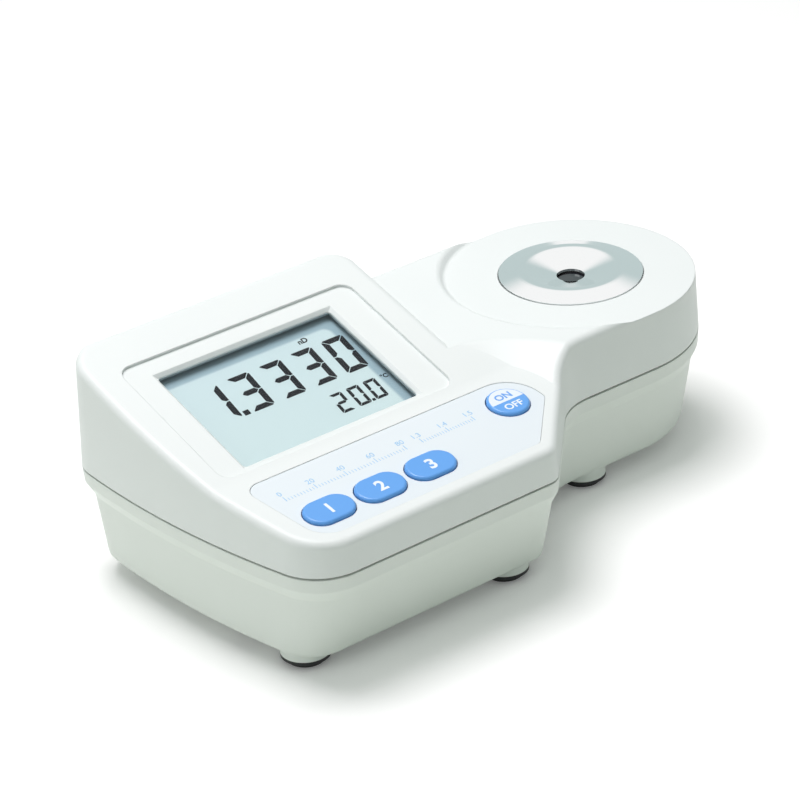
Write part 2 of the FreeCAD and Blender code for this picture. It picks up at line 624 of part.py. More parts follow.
def sloped_form(name, inset, drop, rounded):
    """The cover as if the keypad and display faces went on over its whole length."""
    body = new_body(name)
    walls(body, name + "_plan", inset, "62")
    pocket = slope_cut(body, name + "_above", drop)
    if rounded:
        doc.recompute()
        bend = edges_at(pocket.Shape, [(0, val(BEND_Y), val(BEND_Z))])
        soft = fillet(body, name + "_bend", pocket, bend, "sizes.bend_round")
        doc.recompute()
        fillet(body, name + "_rim", soft, rim_edges(soft.Shape, val(BASE) + 2), "sizes.edge_round")
    return body


def flat_form(name, inset, top, rounded):
    """The cover as if it were flat at one level."""
    body = new_body(name)
    solid = walls(body, name + "_plan", inset, "%s - %s" % (top, BASE))
    if rounded:
        doc.recompute()
        fillet(body, name + "_rim", solid, rim_edges(solid.Shape, val(BASE) + 2), "sizes.edge_round")
    return body


def deck_form(name, inset, top, rounded):
    """The flat deck with the hollow cone of the ramp cut from it."""
    body = new_body(name)
    walls(body, name + "_plan", inset, "%s - %s" % (top, BASE))
    bowl = body.newObject("PartDesign::SubtractiveCone", name + "_bowl")
    bowl.setExpression("Radius1", "sizes.ramp_radius - 15 / tan(sizes.ramp_slope * 1 deg)")
    bowl.setExpression("Radius2", "sizes.ramp_radius + 5 / tan(sizes.ramp_slope * 1 deg)")
    bowl.setExpression("Height", "20")
    bowl.AttachmentSupport = [(origin_plane(body, "XY_Plane"), "")]
    bowl.MapMode = "FlatFace"
    bowl.setExpression("AttachmentOffset.Base.x", LEFT + " + sizes.ramp_from_left")
    bowl.setExpression("AttachmentOffset.Base.y", FRONT + " + sizes.ramp_from_front")
    bowl.setExpression("AttachmentOffset.Base.z", "%s - 15" % top)
    if rounded:
        doc.recompute()
        crest = (val(LEFT) + val("sizes.ramp_from_left"),
                 val(FRONT) + val("sizes.ramp_from_front + sizes.ramp_radius"), val(top))
        soft = fillet(body, name + "_crest", bowl, edges_at(bowl.Shape, [crest]), "sizes.ramp_round")
        doc.recompute()
        fillet(body, name + "_rim", soft, rim_edges(soft.Shape, val(BASE) + 2), "sizes.edge_round")
    return body


def block_form(name, inset, drop, rounded):
    """Display block's right and back walls with the sloped faces over them."""
    body = new_body(name)
    lean = "sizes.deck_rise * tan(sizes.cover_draft * 1 deg)"
    outline = rectangle(LEFT + " - 10", "%s + sizes.display_right - (%s) + %s" % (LEFT, inset, lean),
                        FRONT + " - 10", "-(%s) - (%s)" % (FRONT, inset))
    solid = pad(body, polygon(body, name + "_plan", outline, BASE), "60", "sizes.cover_draft")
    if rounded:
        doc.recompute()
        rise = val("sizes.deck_rise")
        slant = val(lean)
        spot = (val(outline[2][0]) - slant, val(outline[2][1]) - slant, val(BASE) + rise)
        solid = fillet(body, name + "_corner", solid, edges_at(solid.Shape, [spot]), "sizes.block_corner")
    pocket = slope_cut(body, name + "_above", drop)
    if rounded:
        doc.recompute()
        bend = edges_at(pocket.Shape, [(0, val(BEND_Y), val(BEND_Z))])
        soft = fillet(body, name + "_bend", pocket, bend, "sizes.bend_round")
        doc.recompute()
        top = (val(outline[2][0]) - slant, 0, val("%s - %s * %s" % (BEND_Z, BEND_Y, DISPLAY_TILT)))
        fillet(body, name + "_rim", soft, edges_at(soft.Shape, [top]), "sizes.top_round")
    return body


def step_form(name, inset, drop, rounded):
    """Room above the round platform: the step leans out up to the deck, and beyond it all is open."""
    body = new_body(name)
    low, high = "(%s - (%s))" % (PLATFORM, drop), "(%s - (%s))" % (DECK, drop)
    foot = "(sizes.platform_radius - (%s))" % inset
    rise = body.newObject("PartDesign::AdditiveCone", name + "_rise")
    rise.setExpression("Radius1", foot)
    rise.setExpression("Radius2", foot + " + sizes.platform_flare")
    rise.setExpression("Height", "%s - %s" % (high, low))
    above = body.newObject("PartDesign::AdditiveCylinder", name + "_above")
    above.setExpression("Radius", foot + " + sizes.platform_flare + 4")
    above.setExpression("Height", "sizes.deck_rise")
    for feature, level in ((rise, low), (above, high)):
        feature.AttachmentSupport = [(origin_plane(body, "XY_Plane"), "")]
        feature.MapMode = "FlatFace"
        feature.setExpression("AttachmentOffset.Base.x", LOBE_X)
        feature.setExpression("AttachmentOffset.Base.y", LOBE_Y)
        feature.setExpression("AttachmentOffset.Base.z", level)
    if rounded:
        doc.recompute()
        crest = (val(LOBE_X), val("%s + %s + sizes.platform_flare" % (LOBE_Y, foot)), val(high))
        soft = fillet(body, name + "_crest", above, edges_at(above.Shape, [crest]), "sizes.step_round")
        doc.recompute()
        base = (val(LOBE_X), val("%s + %s" % (LOBE_Y, foot)), val(low))
        fillet(body, name + "_foot", soft, edges_at(soft.Shape, [base]), "sizes.step_hollow")
    return body


def cover_form(name, inset, drop, rounded):
    """Upper shell's solid form, put together from the forms above."""
    sloped = sloped_form(name + "_sloped", inset, drop, rounded)
    level = flat_form(name + "_level", inset, "%s - (%s)" % (DECK, drop), rounded)
    deck = deck_form(name + "_deck", inset, "%s - (%s)" % (DECK, drop), rounded)
    low = flat_form(name + "_low", inset, "%s - (%s)" % (PLATFORM, drop), rounded)
    display = block_form(name + "_display", inset, drop, rounded)
    step = step_form(name + "_step", inset, drop, rounded)
    beyond = block(name + "_beyond", "120", "200", "120",
                   "%s + sizes.display_right - (%s) + 60" % (LEFT, inset), "0", BASE + " - 1")
    high = combine("Common", name + "_block", sloped, display)
    keys = combine("Common", name + "_keys", sloped, level)
    plain = combine("Common", name + "_beside", deck, beyond)
    top = combine("Fuse", name + "_top", combine("Fuse", name + "_flat", keys, plain), high)
    floor = combine("Common", name + "_platform", low, step)
    return combine("Fuse", name + "_form", combine("Cut", name + "_cut", top, step), floor)


outer = cover_form("cover", "0", "0", True)
hollow = cover_form("hollow", "sizes.wall", "sizes.wall", False)

VIEW_X = "(%s + (sizes.view_left + sizes.view_right) / 2)" % LEFT
VIEW_V = "((sizes.view_low + sizes.view_high) / 2)"


def view_frame(margin):
    """Rectangle round the window, in the display face's own directions."""
    return rectangle("%s + sizes.view_left - (%s)" % (LEFT, margin),
                     "%s + sizes.view_right + (%s)" % (LEFT, margin),
                     "sizes.view_low - (%s)" % margin, "sizes.view_high + (%s)" % margin)


def overlay_points(gap):
    """Outline of the keypad sheet, moved in by a gap."""
    return [("%s + sizes.overlay_left_low + (%s)" % (LEFT, gap), "sizes.overlay_low + (%s)" % gap),
            ("%s + sizes.overlay_foot - (%s) / 2" % (LEFT, gap), "sizes.overlay_low + (%s)" % gap),
            ("%s + sizes.overlay_right - (%s)" % (LEFT, gap), "sizes.overlay_knee + (%s) / 2" % gap),
            ("%s + sizes.overlay_right - (%s)" % (LEFT, gap), "sizes.overlay_high - (%s)" % gap),
            ("%s + sizes.overlay_left + (%s)" % (LEFT, gap), "sizes.overlay_high - (%s)" % gap)]


OVERLAY_CORNERS = ["sizes.overlay_round_left", "sizes.overlay_round_foot", "sizes.overlay_round_knee",
                   "sizes.overlay_bow", "sizes.overlay_round_top"]
KEYS = {"key_left": 0, "key_middle": 1, "key_right": 2}
POWER = (LEFT + " + sizes.power_from_left", "sizes.power_row")


def key_place(name):
    return ("%s + sizes.key_first + %d * sizes.key_pitch" % (LEFT, KEYS[name]), "sizes.key_row")


def key_slot(name, spot, gap, low, thick):
    """Opening for one key."""
    body = new_body(name)
    sketch = stadium(body, name + "_outline", low, spot[0], spot[1],
                     "sizes.key_length + 2 * (%s)" % gap, "sizes.key_width + 2 * (%s)" % gap)
    pad(body, sketch, thick)
    return on_slope(body, KEYPAD)


def power_slot(name, gap, low, thick):
    body = new_body(name)
    pad(body, circle(body, name + "_outline", low, POWER[0], POWER[1],
                     "sizes.power_radius + (%s)" % gap), thick)
    return on_slope(body, KEYPAD)


def slope_post(name, slope, x, along, radius, low, height):
    """Round post or hole that stands square on a sloped face."""
    return on_slope(cylinder(name, radius, height), slope, x, along, low)


def key_openings(name, low, thick):
    gap = "sizes.clearance"
    slots = [key_slot("%s_%s" % (name, key), key_place(key), gap, low, thick) for key in KEYS]
    return slots + [power_slot(name + "_key_power", gap, low, thick)]


# Upper shell
bezel = on_slope(plate("bezel_recess", rectangle(LEFT + " + sizes.bezel_left", LEFT + " + sizes.bezel_right",
                                                 "sizes.bezel_low", "sizes.bezel_high"),
                       "-sizes.bezel_depth", "5", ["sizes.bezel_corner"] * 4), DISPLAY)
view = on_slope(plate("view_opening", view_frame("sizes.slip"), "-4", "8",
                      ["sizes.view_corner"] * 4), DISPLAY)
bevel = on_slope(plate("view_slope", view_frame("sizes.slip"), "-sizes.bezel_depth - sizes.view_bevel",
                       "sizes.bezel_depth + sizes.view_bevel", taper="-45"), DISPLAY)
sheet_recess = on_slope(plate("sheet_recess", overlay_points("0"), "-sizes.overlay_depth", "5",
                              OVERLAY_CORNERS), KEYPAD)
well_boss = cylinder("well_boss", "sizes.ring_radius + 2.6", "sizes.boss_depth - 1", LOBE_X, LOBE_Y,
                     PLATFORM + " - sizes.boss_depth")
ring_recess = cylinder("ring_recess", "sizes.ring_radius + sizes.clearance", "5", LOBE_X, LOBE_Y,
                       PLATFORM + " - sizes.ring_seat - sizes.gasket_thick")
neck_hole = cylinder("neck_hole", "sizes.neck_radius + sizes.clearance", "20", LOBE_X, LOBE_Y,
                     PLATFORM + " - 15")
KEYPAD_SCREWS = [(LEFT + " + 19.5", "27.6"), (LEFT + " + 50.8", "27.6"), (LEFT + " + 78", "27.6"),
                 (LEFT + " + 75.6", "9.8")]
LCD_EAR = "sizes.holder_margin + sizes.lcd_board_ears / 2"
LCD_SCREWS = [("%s + sizes.view_left - (%s)" % (LEFT, LCD_EAR), "sizes.lcd_screw_low"),
              ("%s + sizes.view_left - (%s)" % (LEFT, LCD_EAR), "sizes.lcd_screw_high"),
              ("%s + sizes.view_right + %s" % (LEFT, LCD_EAR), "sizes.lcd_screw_low"),
              ("%s + sizes.view_right + %s" % (LEFT, LCD_EAR), "sizes.lcd_screw_high")]
OPTICS_TOP = "(%s - sizes.neck_length - sizes.clearance)" % PLATFORM
OPTICS_SCREWS = [("%s + %d * sizes.optics_screw_x" % (LOBE_X, a),
                  "%s + %d * sizes.optics_screw_y" % (LOBE_Y, b)) for a in (-1, 1) for b in (-1, 1)]

bosses, pilots = [], []
for number, (x, v) in enumerate(KEYPAD_SCREWS):
    bosses.append(slope_post("keypad_boss%d" % number, KEYPAD, x, v, "sizes.boss_radius",
                             "-" + KEY_BOARD_TOP, KEY_BOARD_TOP + " - sizes.wall + 0.6"))
    pilots.append(slope_post("keypad_pilot%d" % number, KEYPAD, x, v, "sizes.screw_radius + 0.05",
                             "-%s - 1" % KEY_BOARD_TOP, "sizes.screw_length"))
for number, (x, v) in enumerate(LCD_SCREWS):
    bosses.append(slope_post("lcd_boss%d" % number, DISPLAY, x, v, "sizes.boss_radius",
                             "-" + LCD_BOARD_TOP, LCD_BOARD_TOP + " - sizes.wall + 0.6"))
    pilots.append(slope_post("lcd_pilot%d" % number, DISPLAY, x, v, "sizes.screw_radius + 0.05",
                             "-%s - 1" % LCD_BOARD_TOP, "sizes.screw_length"))
for number, (x, y) in enumerate(OPTICS_SCREWS):
    height = "%s - sizes.boss_depth - %s + 0.5" % (PLATFORM, OPTICS_TOP)
    bosses.append(cylinder("optics_boss%d" % number, "sizes.boss_radius", height, x, y, OPTICS_TOP))
    pilots.append(cylinder("optics_pilot%d" % number, "sizes.screw_radius + 0.05", "5", x, y,
                           OPTICS_TOP + " - 1"))
for number, (x, y) in enumerate(CASE_SCREWS):
    column = cylinder("cover_column%d" % number, "sizes.column_radius - 0.6", "40", x, y, BASE)
    bosses.append(combine("Common", "cover_boss%d" % number, column, outer))
    pilots.append(cylinder("cover_pilot%d" % number, "sizes.case_screw_radius + 0.05",
                           "sizes.case_head_z + sizes.case_screw_length + 1 - %s" % BASE, x, y, BASE))

shell = combine("Cut", "cover_shell", outer, hollow)
cover_solid = combine("Fuse", "cover_solid", shell, well_boss, *bosses)
top_cover = combine("Cut", "top_cover", cover_solid, bezel, view, bevel, sheet_recess, ring_recess, neck_hole,
                    *key_openings("cover", "-6", "10"), *pilots)

# Lower shell: lip, shoulder and skirt, then the floor
SKIRT = ["sizes.skirt_front", "sizes.skirt_left", "sizes.skirt_back", "sizes.skirt_lobe",
         "sizes.skirt_neck", "sizes.skirt_corner"]


def case_form(name, inset, low, rounded):
    body = new_body(name)
    bands = [(SEAM, ["0"] * 6),
             (SEAM + " - sizes.lip_height", ["sizes.lip_lean"] * 5 + ["0"]),
             (SEAM + " - sizes.lip_height - sizes.shoulder_height", ["sizes.shoulder_step"] * 5 + ["0"]),
             (low, SKIRT)]
    sketches = []
    for number, (level, leans) in enumerate(bands):
        insets = ["%s + %s" % (lean, inset) for lean in leans]
        sketches.append(plan_outline(body, "%s_band%d" % (name, number), level, *insets))
    solid = loft(body, name + "_loft", sketches)
    if rounded:
        doc.recompute()
        low_edges = [number for number, edge in enumerate(solid.Shape.Edges, start=1)
                     if edge.BoundBox.ZMax < val(low) + 0.1]
        fillet(body, name + "_foot", solid, low_edges, "sizes.skirt_round")
    return body


case_outer = case_form("case_outer", "0", FLOOR, True)
case_inner = case_form("case_inner", "sizes.wall", FLOOR + " + sizes.wall", False)
LEDGE_Z = "(%s + sizes.lid_thick + sizes.clearance)" % FLOOR
CHANNEL_Z = "(%s + sizes.lip_ring)" % LEDGE_Z
LUG_Z = "(%s + sizes.clearance)" % CHANNEL_Z
ROOF_Z = "(%s + sizes.lug_height + sizes.clearance)" % LUG_Z
PLUG_TOP = "(%s + sizes.lug_height)" % LUG_Z
BATTERY_Z = "(%s + sizes.clearance)" % PLUG_TOP
BATTERY_X = "(%s - sizes.battery_shift)" % LID_X
LEAD_X = "(%s + sizes.battery_length / 2 + sizes.snap_thick + sizes.lead_stub + sizes.lead_bend - 0.2)" \
    % BATTERY_X
POCKET_X = "(%s + (sizes.snap_thick + sizes.lead_room - sizes.pocket_play) / 2)" % BATTERY_X
POCKET_LENGTH = "(sizes.battery_length + sizes.snap_thick + sizes.lead_room + sizes.pocket_play)"
POCKET_WIDTH = "(sizes.battery_width + 2)"
POCKET_TOP = "(%s + sizes.battery_height + sizes.clearance)" % BATTERY_Z

collar = cylinder("collar", COLLAR_R, "%s + 1.4 - %s" % (ROOF_Z, FLOOR), LID_X, LID_Y, FLOOR)
pocket_box = block("pocket_box", POCKET_LENGTH + " + 2 * sizes.pocket_wall",
                   POCKET_WIDTH + " + 2 * sizes.pocket_wall",
                   "%s + sizes.pocket_wall - %s" % (POCKET_TOP, ROOF_Z), POCKET_X, LID_Y, ROOF_Z)
pocket_room = block("pocket_room", POCKET_LENGTH, POCKET_WIDTH, "%s - %s" % (POCKET_TOP, ROOF_Z) + " + 1",
                    POCKET_X, LID_Y, ROOF_Z + " - 1")
lead_slot = block("lead_slot", "4", "8", "10", LEAD_X, LID_Y, POCKET_TOP + " - 3")
lid_seat = cylinder("lid_seat", "sizes.lid_radius + sizes.clearance", "sizes.lid_thick + sizes.clearance",
                    LID_X, LID_Y, FLOOR)
lid_opening = cylinder("lid_opening", OPENING_R, "%s - %s" % (ROOF_Z, FLOOR), LID_X, LID_Y, FLOOR)
channel = cylinder("lug_channel", CHANNEL_R, "%s - %s" % (ROOF_Z, CHANNEL_Z), LID_X, LID_Y, CHANNEL_Z)


def sector(name, radius, height, angle, start, z):
    """Wedge of a disc round the battery cover's axis."""
    obj = cylinder(name, radius, height, LID_X, LID_Y, z, start, (0, 0, 1))
    obj.setExpression("Angle", angle)
    return obj


LUG_TURNS = (90, 210, 330)
UNLOCK = 45
notches = [sector("notch%d" % turn, CHANNEL_R, "%s - %s + 0.5" % (CHANNEL_Z, LEDGE_Z),
                  "sizes.notch_angle", "%d - sizes.notch_angle / 2 - %d" % (turn, UNLOCK),
                  LEDGE_Z + " - 0.2") for turn in LUG_TURNS]
foot_bosses, foot_holes, columns, column_holes = [], [], [], []
for name, (x, y) in FEET.items():
    foot_bosses.append(cylinder(name + "_boss", "sizes.foot_boss_radius",
                                "sizes.foot_peg_top + 2 - sizes.foot_boss_z", x, y, "sizes.foot_boss_z"))
    foot_holes.append(cylinder(name + "_seat", "sizes.foot_radius + sizes.slip",
                               "sizes.foot_seat - sizes.foot_boss_z", x, y, "sizes.foot_boss_z"))
    foot_holes.append(cylinder(name + "_hole", "sizes.foot_peg_radius + sizes.slip",
                               "sizes.foot_peg_top + sizes.slip - sizes.foot_seat", x, y,
                               "sizes.foot_seat"))
for number, (x, y) in enumerate(CASE_SCREWS):
    column = cylinder("case_column%d" % number, "sizes.column_radius", "%s - %s" % (SEAM, FLOOR), x, y, FLOOR)
    columns.append(combine("Common", "case_boss%d" % number, column, case_outer))
    column_holes.append(cylinder("head_hole%d" % number, "sizes.case_head_radius + 0.2",
                                 "sizes.case_head_z - %s" % FLOOR, x, y, FLOOR))
    column_holes.append(cylinder("shank_hole%d" % number, "sizes.case_screw_radius + 0.2", "40", x, y, FLOOR))
for number, (x, y) in enumerate(MAIN_SCREWS):
    columns.append(cylinder("board_post%d" % number, "sizes.post_radius",
                            "%s - %s - 1" % (MAIN_Z, FLOOR), x, y, FLOOR + " + 1"))
    column_holes.append(cylinder("post_hole%d" % number, "sizes.screw_radius + 0.05", "6", x, y,
                                 MAIN_Z + " - 5"))
case_shell = combine("Cut", "case_shell", case_outer, case_inner)
case_solid = combine("Fuse", "case_solid", case_shell, collar, pocket_box, *foot_bosses, *columns)
bottom_case = combine("Cut", "bottom_case", case_solid, pocket_room, lead_slot, lid_seat, lid_opening,
                      channel, *notches, *foot_holes, *column_holes)

# Seal in the seam
seal_body = new_body("seal_outline")
pad(seal_body, plan_outline(seal_body, "seal_plan", SEAM, *["0.7"] * 5), "sizes.parting_gap")
seal_room = new_body("seal_room")
pad(seal_room, plan_outline(seal_room, "seal_room_plan", SEAM, *["sizes.wall - 0.2"] * 5), "sizes.parting_gap")
housing_gasket = combine("Cut", "housing_gasket", seal_body, seal_room)

# Rubber feet
feet = {}
for name, (x, y) in FEET.items():
    disc = cylinder(name + "_disc", "sizes.foot_radius", "sizes.foot_seat", x, y)
    peg = cylinder(name + "_peg", "sizes.foot_peg_radius", "sizes.foot_peg_top", x, y)
    feet[name] = combine("Fuse", name, disc, peg)


def screw(name, x, y, head_z, length, radius, head, upward=True):
    """Screw from its head's underside; the thread stays plain."""
    shank = cylinder(name + "_shank", radius, length, x, y, head_z if upward else "%s - %s" % (head_z, length))
    cap = cylinder(name + "_cap", head, "%s * 0.8" % head, x, y,
                   "%s - %s * 0.8" % (head_z, head) if upward else head_z)
    return combine("Fuse", name, shank, cap)


case_screws = group("case_screws", [
    screw("case_screw%d" % number, x, y, "sizes.case_head_z", "sizes.case_screw_length",
          "sizes.case_screw_radius", "sizes.case_head_radius")
    for number, (x, y) in enumerate(CASE_SCREWS)])

# Display: pane, gasket, LCD, holder, contact strips and board
pane = plate("pane", view_frame("0"), "-sizes.wall - sizes.gasket_thick",
             "sizes.wall + sizes.gasket_thick - sizes.pane_drop", ["sizes.view_corner"] * 4)
pane_rim = plate("pane_foot", view_frame("sizes.pane_flange"),
                 "-sizes.wall - sizes.gasket_thick - sizes.pane_rim", "sizes.pane_rim")
display_window = combine("Fuse", "display_window", on_slope(pane, DISPLAY), on_slope(pane_rim, DISPLAY))
gasket_plate = plate("gasket_plate", view_frame("sizes.pane_flange"), "-sizes.wall - sizes.gasket_thick",
                     "sizes.gasket_thick")
gasket_room = plate("gasket_room", view_frame("sizes.slip"), "-sizes.wall - 1", "2")
window_gasket = combine("Cut", "window_gasket", on_slope(gasket_plate, DISPLAY),
                        on_slope(gasket_room, DISPLAY))
lcd_glass = on_slope(plate("lcd_glass", view_frame("sizes.lcd_margin"), "-sizes.lcd_depth - sizes.lcd_thick",
                           "sizes.lcd_thick"), DISPLAY)
holder_plate = plate("holder_plate", view_frame("sizes.holder_margin"), "-" + LCD_BOARD_TOP,
                     LCD_BOARD_TOP + " - sizes.lcd_depth")
holder_room = plate("holder_room", view_frame("sizes.lcd_margin + sizes.slip"), "-%s - 1" % LCD_BOARD_TOP, "20")
lcd_holder = combine("Cut", "lcd_holder", on_slope(holder_plate, DISPLAY), on_slope(holder_room, DISPLAY))


def strip(name, along):
    return on_slope(plate(name, rectangle(LEFT + " + sizes.view_left + 2", LEFT + " + sizes.view_right - 2",
                                          "%s - sizes.strip_width / 2" % along,
                                          "%s + sizes.strip_width / 2" % along),
                          "-" + LCD_BOARD_TOP, "sizes.strip_height"), DISPLAY)


zebra_strips = group("zebra_strips", [strip("zebra_low", "sizes.view_low"),
                                      strip("zebra_high", "sizes.view_high")])


def board_holes(name, slope, screws, low):
    return [slope_post("%s%d" % (name, number), slope, x, v, "sizes.screw_radius + 0.1", low, "4")
            for number, (x, v) in enumerate(screws)]


lcd_plate = on_slope(plate("lcd_plate", rectangle(
    "%s + sizes.view_left - sizes.holder_margin - sizes.lcd_board_ears" % LEFT,
    "%s + sizes.view_right + sizes.holder_margin + sizes.lcd_board_ears" % LEFT,
    "sizes.view_low - sizes.holder_margin", "sizes.view_high + sizes.holder_margin"),
    "-%s - sizes.board_thick" % LCD_BOARD_TOP, "sizes.board_thick"), DISPLAY)
lcd_board = combine("Cut", "lcd_board", lcd_plate,
                    *board_holes("lcd_hole", DISPLAY, LCD_SCREWS, "-%s - 3" % LCD_BOARD_TOP))

# Keypad: sheet, keys, snap domes and board
sheet_plate = on_slope(plate("sheet_plate", overlay_points("sizes.slip"), "-sizes.overlay_depth",
                             "sizes.overlay_thick", OVERLAY_CORNERS), KEYPAD)
keypad_overlay = combine("Cut", "keypad_overlay", sheet_plate, *key_openings("sheet", "-2", "4"))
FLANGE_TOP = "(sizes.wall + sizes.clearance)"


def key_cap(name, outline):
    """Cap, rim and pin of one key; outline draws its section at a level, grown by a margin."""
    body = new_body(name)
    rim = pad(body, outline(body, name + "_rim", "-%s - sizes.flange_thick" % FLANGE_TOP,
                            "sizes.key_flange"), "sizes.flange_thick")
    cap = pad(body, outline(body, name + "_cap", "-" + FLANGE_TOP, "0"), FLANGE_TOP + " + sizes.key_rise")
    doc.recompute()
    top = [number for number, edge in enumerate(cap.Shape.Edges, start=1)
           if edge.BoundBox.ZMin > val("sizes.key_rise") - 0.01]
    fillet(body, name + "_top", cap, top, "sizes.key_round")
    return body


def long_outline(spot):
    def draw(body, name, level, margin):
        return stadium(body, name, level, spot[0], spot[1], "sizes.key_length + 2 * (%s)" % margin,
                       "sizes.key_width + 2 * (%s)" % margin)
    return draw


def round_outline(body, name, level, margin):
    return circle(body, name, level, POWER[0], POWER[1], "sizes.power_radius + (%s)" % margin)


def key(name, outline, spot):
    cap = on_slope(key_cap(name + "_cap", outline), KEYPAD)
    pin = slope_post(name + "_pin", KEYPAD, spot[0], spot[1], "sizes.plunger_radius",
                     "-%s - sizes.flange_thick - sizes.plunger_length" % FLANGE_TOP,
                     "sizes.plunger_length + 0.5")
    return combine("Fuse", name, cap, pin)


keys = {name: key(name, long_outline(key_place(name)), key_place(name)) for name in KEYS}
keys["key_power"] = key("key_power", round_outline, POWER)
spots = [key_place(name) for name in KEYS] + [POWER]
snap_domes = group("snap_domes", [
    slope_post("dome%d" % number, KEYPAD, x, v, "sizes.dome_radius", "-" + KEY_BOARD_TOP, "sizes.dome_height")
    for number, (x, v) in enumerate(spots)])
key_plate = on_slope(plate("key_plate", [
    (LEFT + " + sizes.key_board_left", "sizes.key_board_low"),
    (LEFT + " + sizes.key_board_right - 18", "sizes.key_board_low"),
    (LEFT + " + sizes.key_board_right", "sizes.key_board_low + 14.5"),
    (LEFT + " + sizes.key_board_right", "sizes.key_board_high"),
    (LEFT + " + sizes.key_board_left", "sizes.key_board_high")],
    "-%s - sizes.board_thick" % KEY_BOARD_TOP, "sizes.board_thick"), KEYPAD)
keypad_board = combine("Cut", "keypad_board", key_plate,
                       *board_holes("keypad_hole", KEYPAD, KEYPAD_SCREWS, "-%s - 3" % KEY_BOARD_TOP))

# Ribbon from the keypad board down to the main board
BOARD_TOP = "(%s + sizes.board_thick)" % MAIN_Z
RIBBON_Y = "(%s + 29)" % FRONT
RIBBON_TOP = ("(%s + 29 * %s - (%s + sizes.board_thick) / cos(sizes.keypad_slope * 1 deg) - 0.15)"
              % (EDGE_Z, KEY_TILT, KEY_BOARD_TOP))
keypad_ribbon = block("keypad_ribbon", "14", "0.4", "%s - %s" % (RIBBON_TOP, BOARD_TOP),
                      LEFT + " + 66", RIBBON_Y, BOARD_TOP)

# Sample well: ring with its neck, seal and nut, the prism and its seal
WELL_EDGE = "(%s - sizes.well_drop)" % PLATFORM
PRISM_TOP = "(%s - sizes.well_edge - sizes.seal_thick)" % WELL_EDGE
RING_FOOT = "(%s - sizes.ring_seat)" % PLATFORM
NECK_FOOT = "(%s - sizes.neck_length)" % PLATFORM
well_profile = [("sizes.well_radius", WELL_EDGE), ("sizes.ring_crest", PLATFORM + " + sizes.ring_rise"),
                ("sizes.ring_radius", PLATFORM + " + sizes.ring_lip"), ("sizes.ring_radius", RING_FOOT),
                ("sizes.neck_radius", RING_FOOT), ("sizes.neck_radius", NECK_FOOT),
                ("sizes.well_bore", NECK_FOOT), ("sizes.well_bore", WELL_EDGE + " - sizes.well_edge"),
                ("sizes.well_radius", WELL_EDGE + " - sizes.well_edge")]
well_body = turned("well_body", well_profile, LOBE_X, LOBE_Y)
doc.recompute()
crest_edge = edges_at(well_body.Tip.Shape, [(val("sizes.ring_crest"), 0, val(PLATFORM + " + sizes.ring_rise"))])
fillet(well_body, "well_crest", well_body.Tip, crest_edge, "sizes.crest_round")
bead_hole = cylinder("bead_hole", "1.4", "4.4", "%s - (sizes.well_bore + sizes.neck_radius) / 2" % LOBE_X,
                     LOBE_Y, NECK_FOOT + " - 0.4")
sample_well = combine("Cut", "sample_well", well_body, bead_hole)
well_seal = ring("well_seal", "sizes.ring_radius - 0.7", "sizes.neck_radius + sizes.clearance + 0.2",
                 "sizes.gasket_thick", LOBE_X, LOBE_Y, RING_FOOT + " - sizes.gasket_thick")
nut_z = "(%s - sizes.boss_depth - sizes.nut_height)" % PLATFORM
nut_ring = ring("nut_ring", "sizes.nut_radius", "sizes.neck_radius + 0.05", "sizes.nut_height", LOBE_X,
                LOBE_Y, nut_z)
nut_slots = [block("nut_slot%d" % i, "4 + 40 * %d" % i, "44 - 40 * %d" % i, "1.6", LOBE_X, LOBE_Y, nut_z)
             for i in (0, 1)]
nut_core = cylinder("nut_core", "sizes.nut_radius - 2.4", "2", LOBE_X, LOBE_Y, nut_z)
nut_cuts = [combine("Cut", "nut_cut%d" % i, slot, nut_core) for i, slot in enumerate(nut_slots)]
well_nut = combine("Cut", "well_nut", nut_ring, *nut_cuts)
prism_seal = ring("prism_seal", "6.2", "sizes.well_radius + 0.3", "sizes.seal_thick", LOBE_X, LOBE_Y, PRISM_TOP)
PRISM_FOOT = "(%s - sizes.prism_height)" % PRISM_TOP


def front_profile(name, points, width, y):
    """Prism along Y from a closed profile given as X and Z expressions."""
    body = new_body(name)
    sketch = polygon(body, name + "_profile", points, "0", "XZ_Plane")
    solid = pad(body, sketch, width)
    solid.Midplane = True
    return place(body, LOBE_X, y)


prism = front_profile("prism", [("-sizes.prism_length / 2", PRISM_TOP), ("-sizes.prism_foot / 2", PRISM_FOOT),
                                ("sizes.prism_foot / 2", PRISM_FOOT), ("sizes.prism_length / 2", PRISM_TOP)],
                      "sizes.prism_width", LOBE_Y)

# Optical block under the prism: two slanted bores, one for the light and one for the lens
TILT = "sizes.optics_angle * 1 deg"


def along_path(side, distance):
    """Place on a light path, measured from the prism's foot."""
    return ("%s + %d * (%s) * sin(%s)" % (LOBE_X, side, distance, TILT),
            "%s - (%s) * cos(%s)" % (PRISM_FOOT, distance, TILT))


def path_cylinder(name, side, radius, near, far):
    """Cylinder on a light path between two distances from the prism's foot."""
    x, z = along_path(side, far)
    return cylinder(name, radius, "(%s) - (%s)" % (far, near), x, LOBE_Y, z,
                    "%d * sizes.optics_angle" % -side, (0, 1, 0))


def path_block(name, side, length, width, near, far):
    x, z = along_path(side, far)
    obj = doc.addObject("Part::Box", name)
    for prop, size in (("Length", length), ("Width", width), ("Height", "(%s) - (%s)" % (far, near))):
        obj.setExpression(prop, size)
    return place(obj, "%s - (%s) / 2 * cos(%s)" % (x, length, TILT), "%s - %s / 2" % (LOBE_Y, width),
                 "%s - %d * (%s) / 2 * sin(%s)" % (z, side, length, TILT),
                 "%d * sizes.optics_angle" % -side, (0, 1, 0))


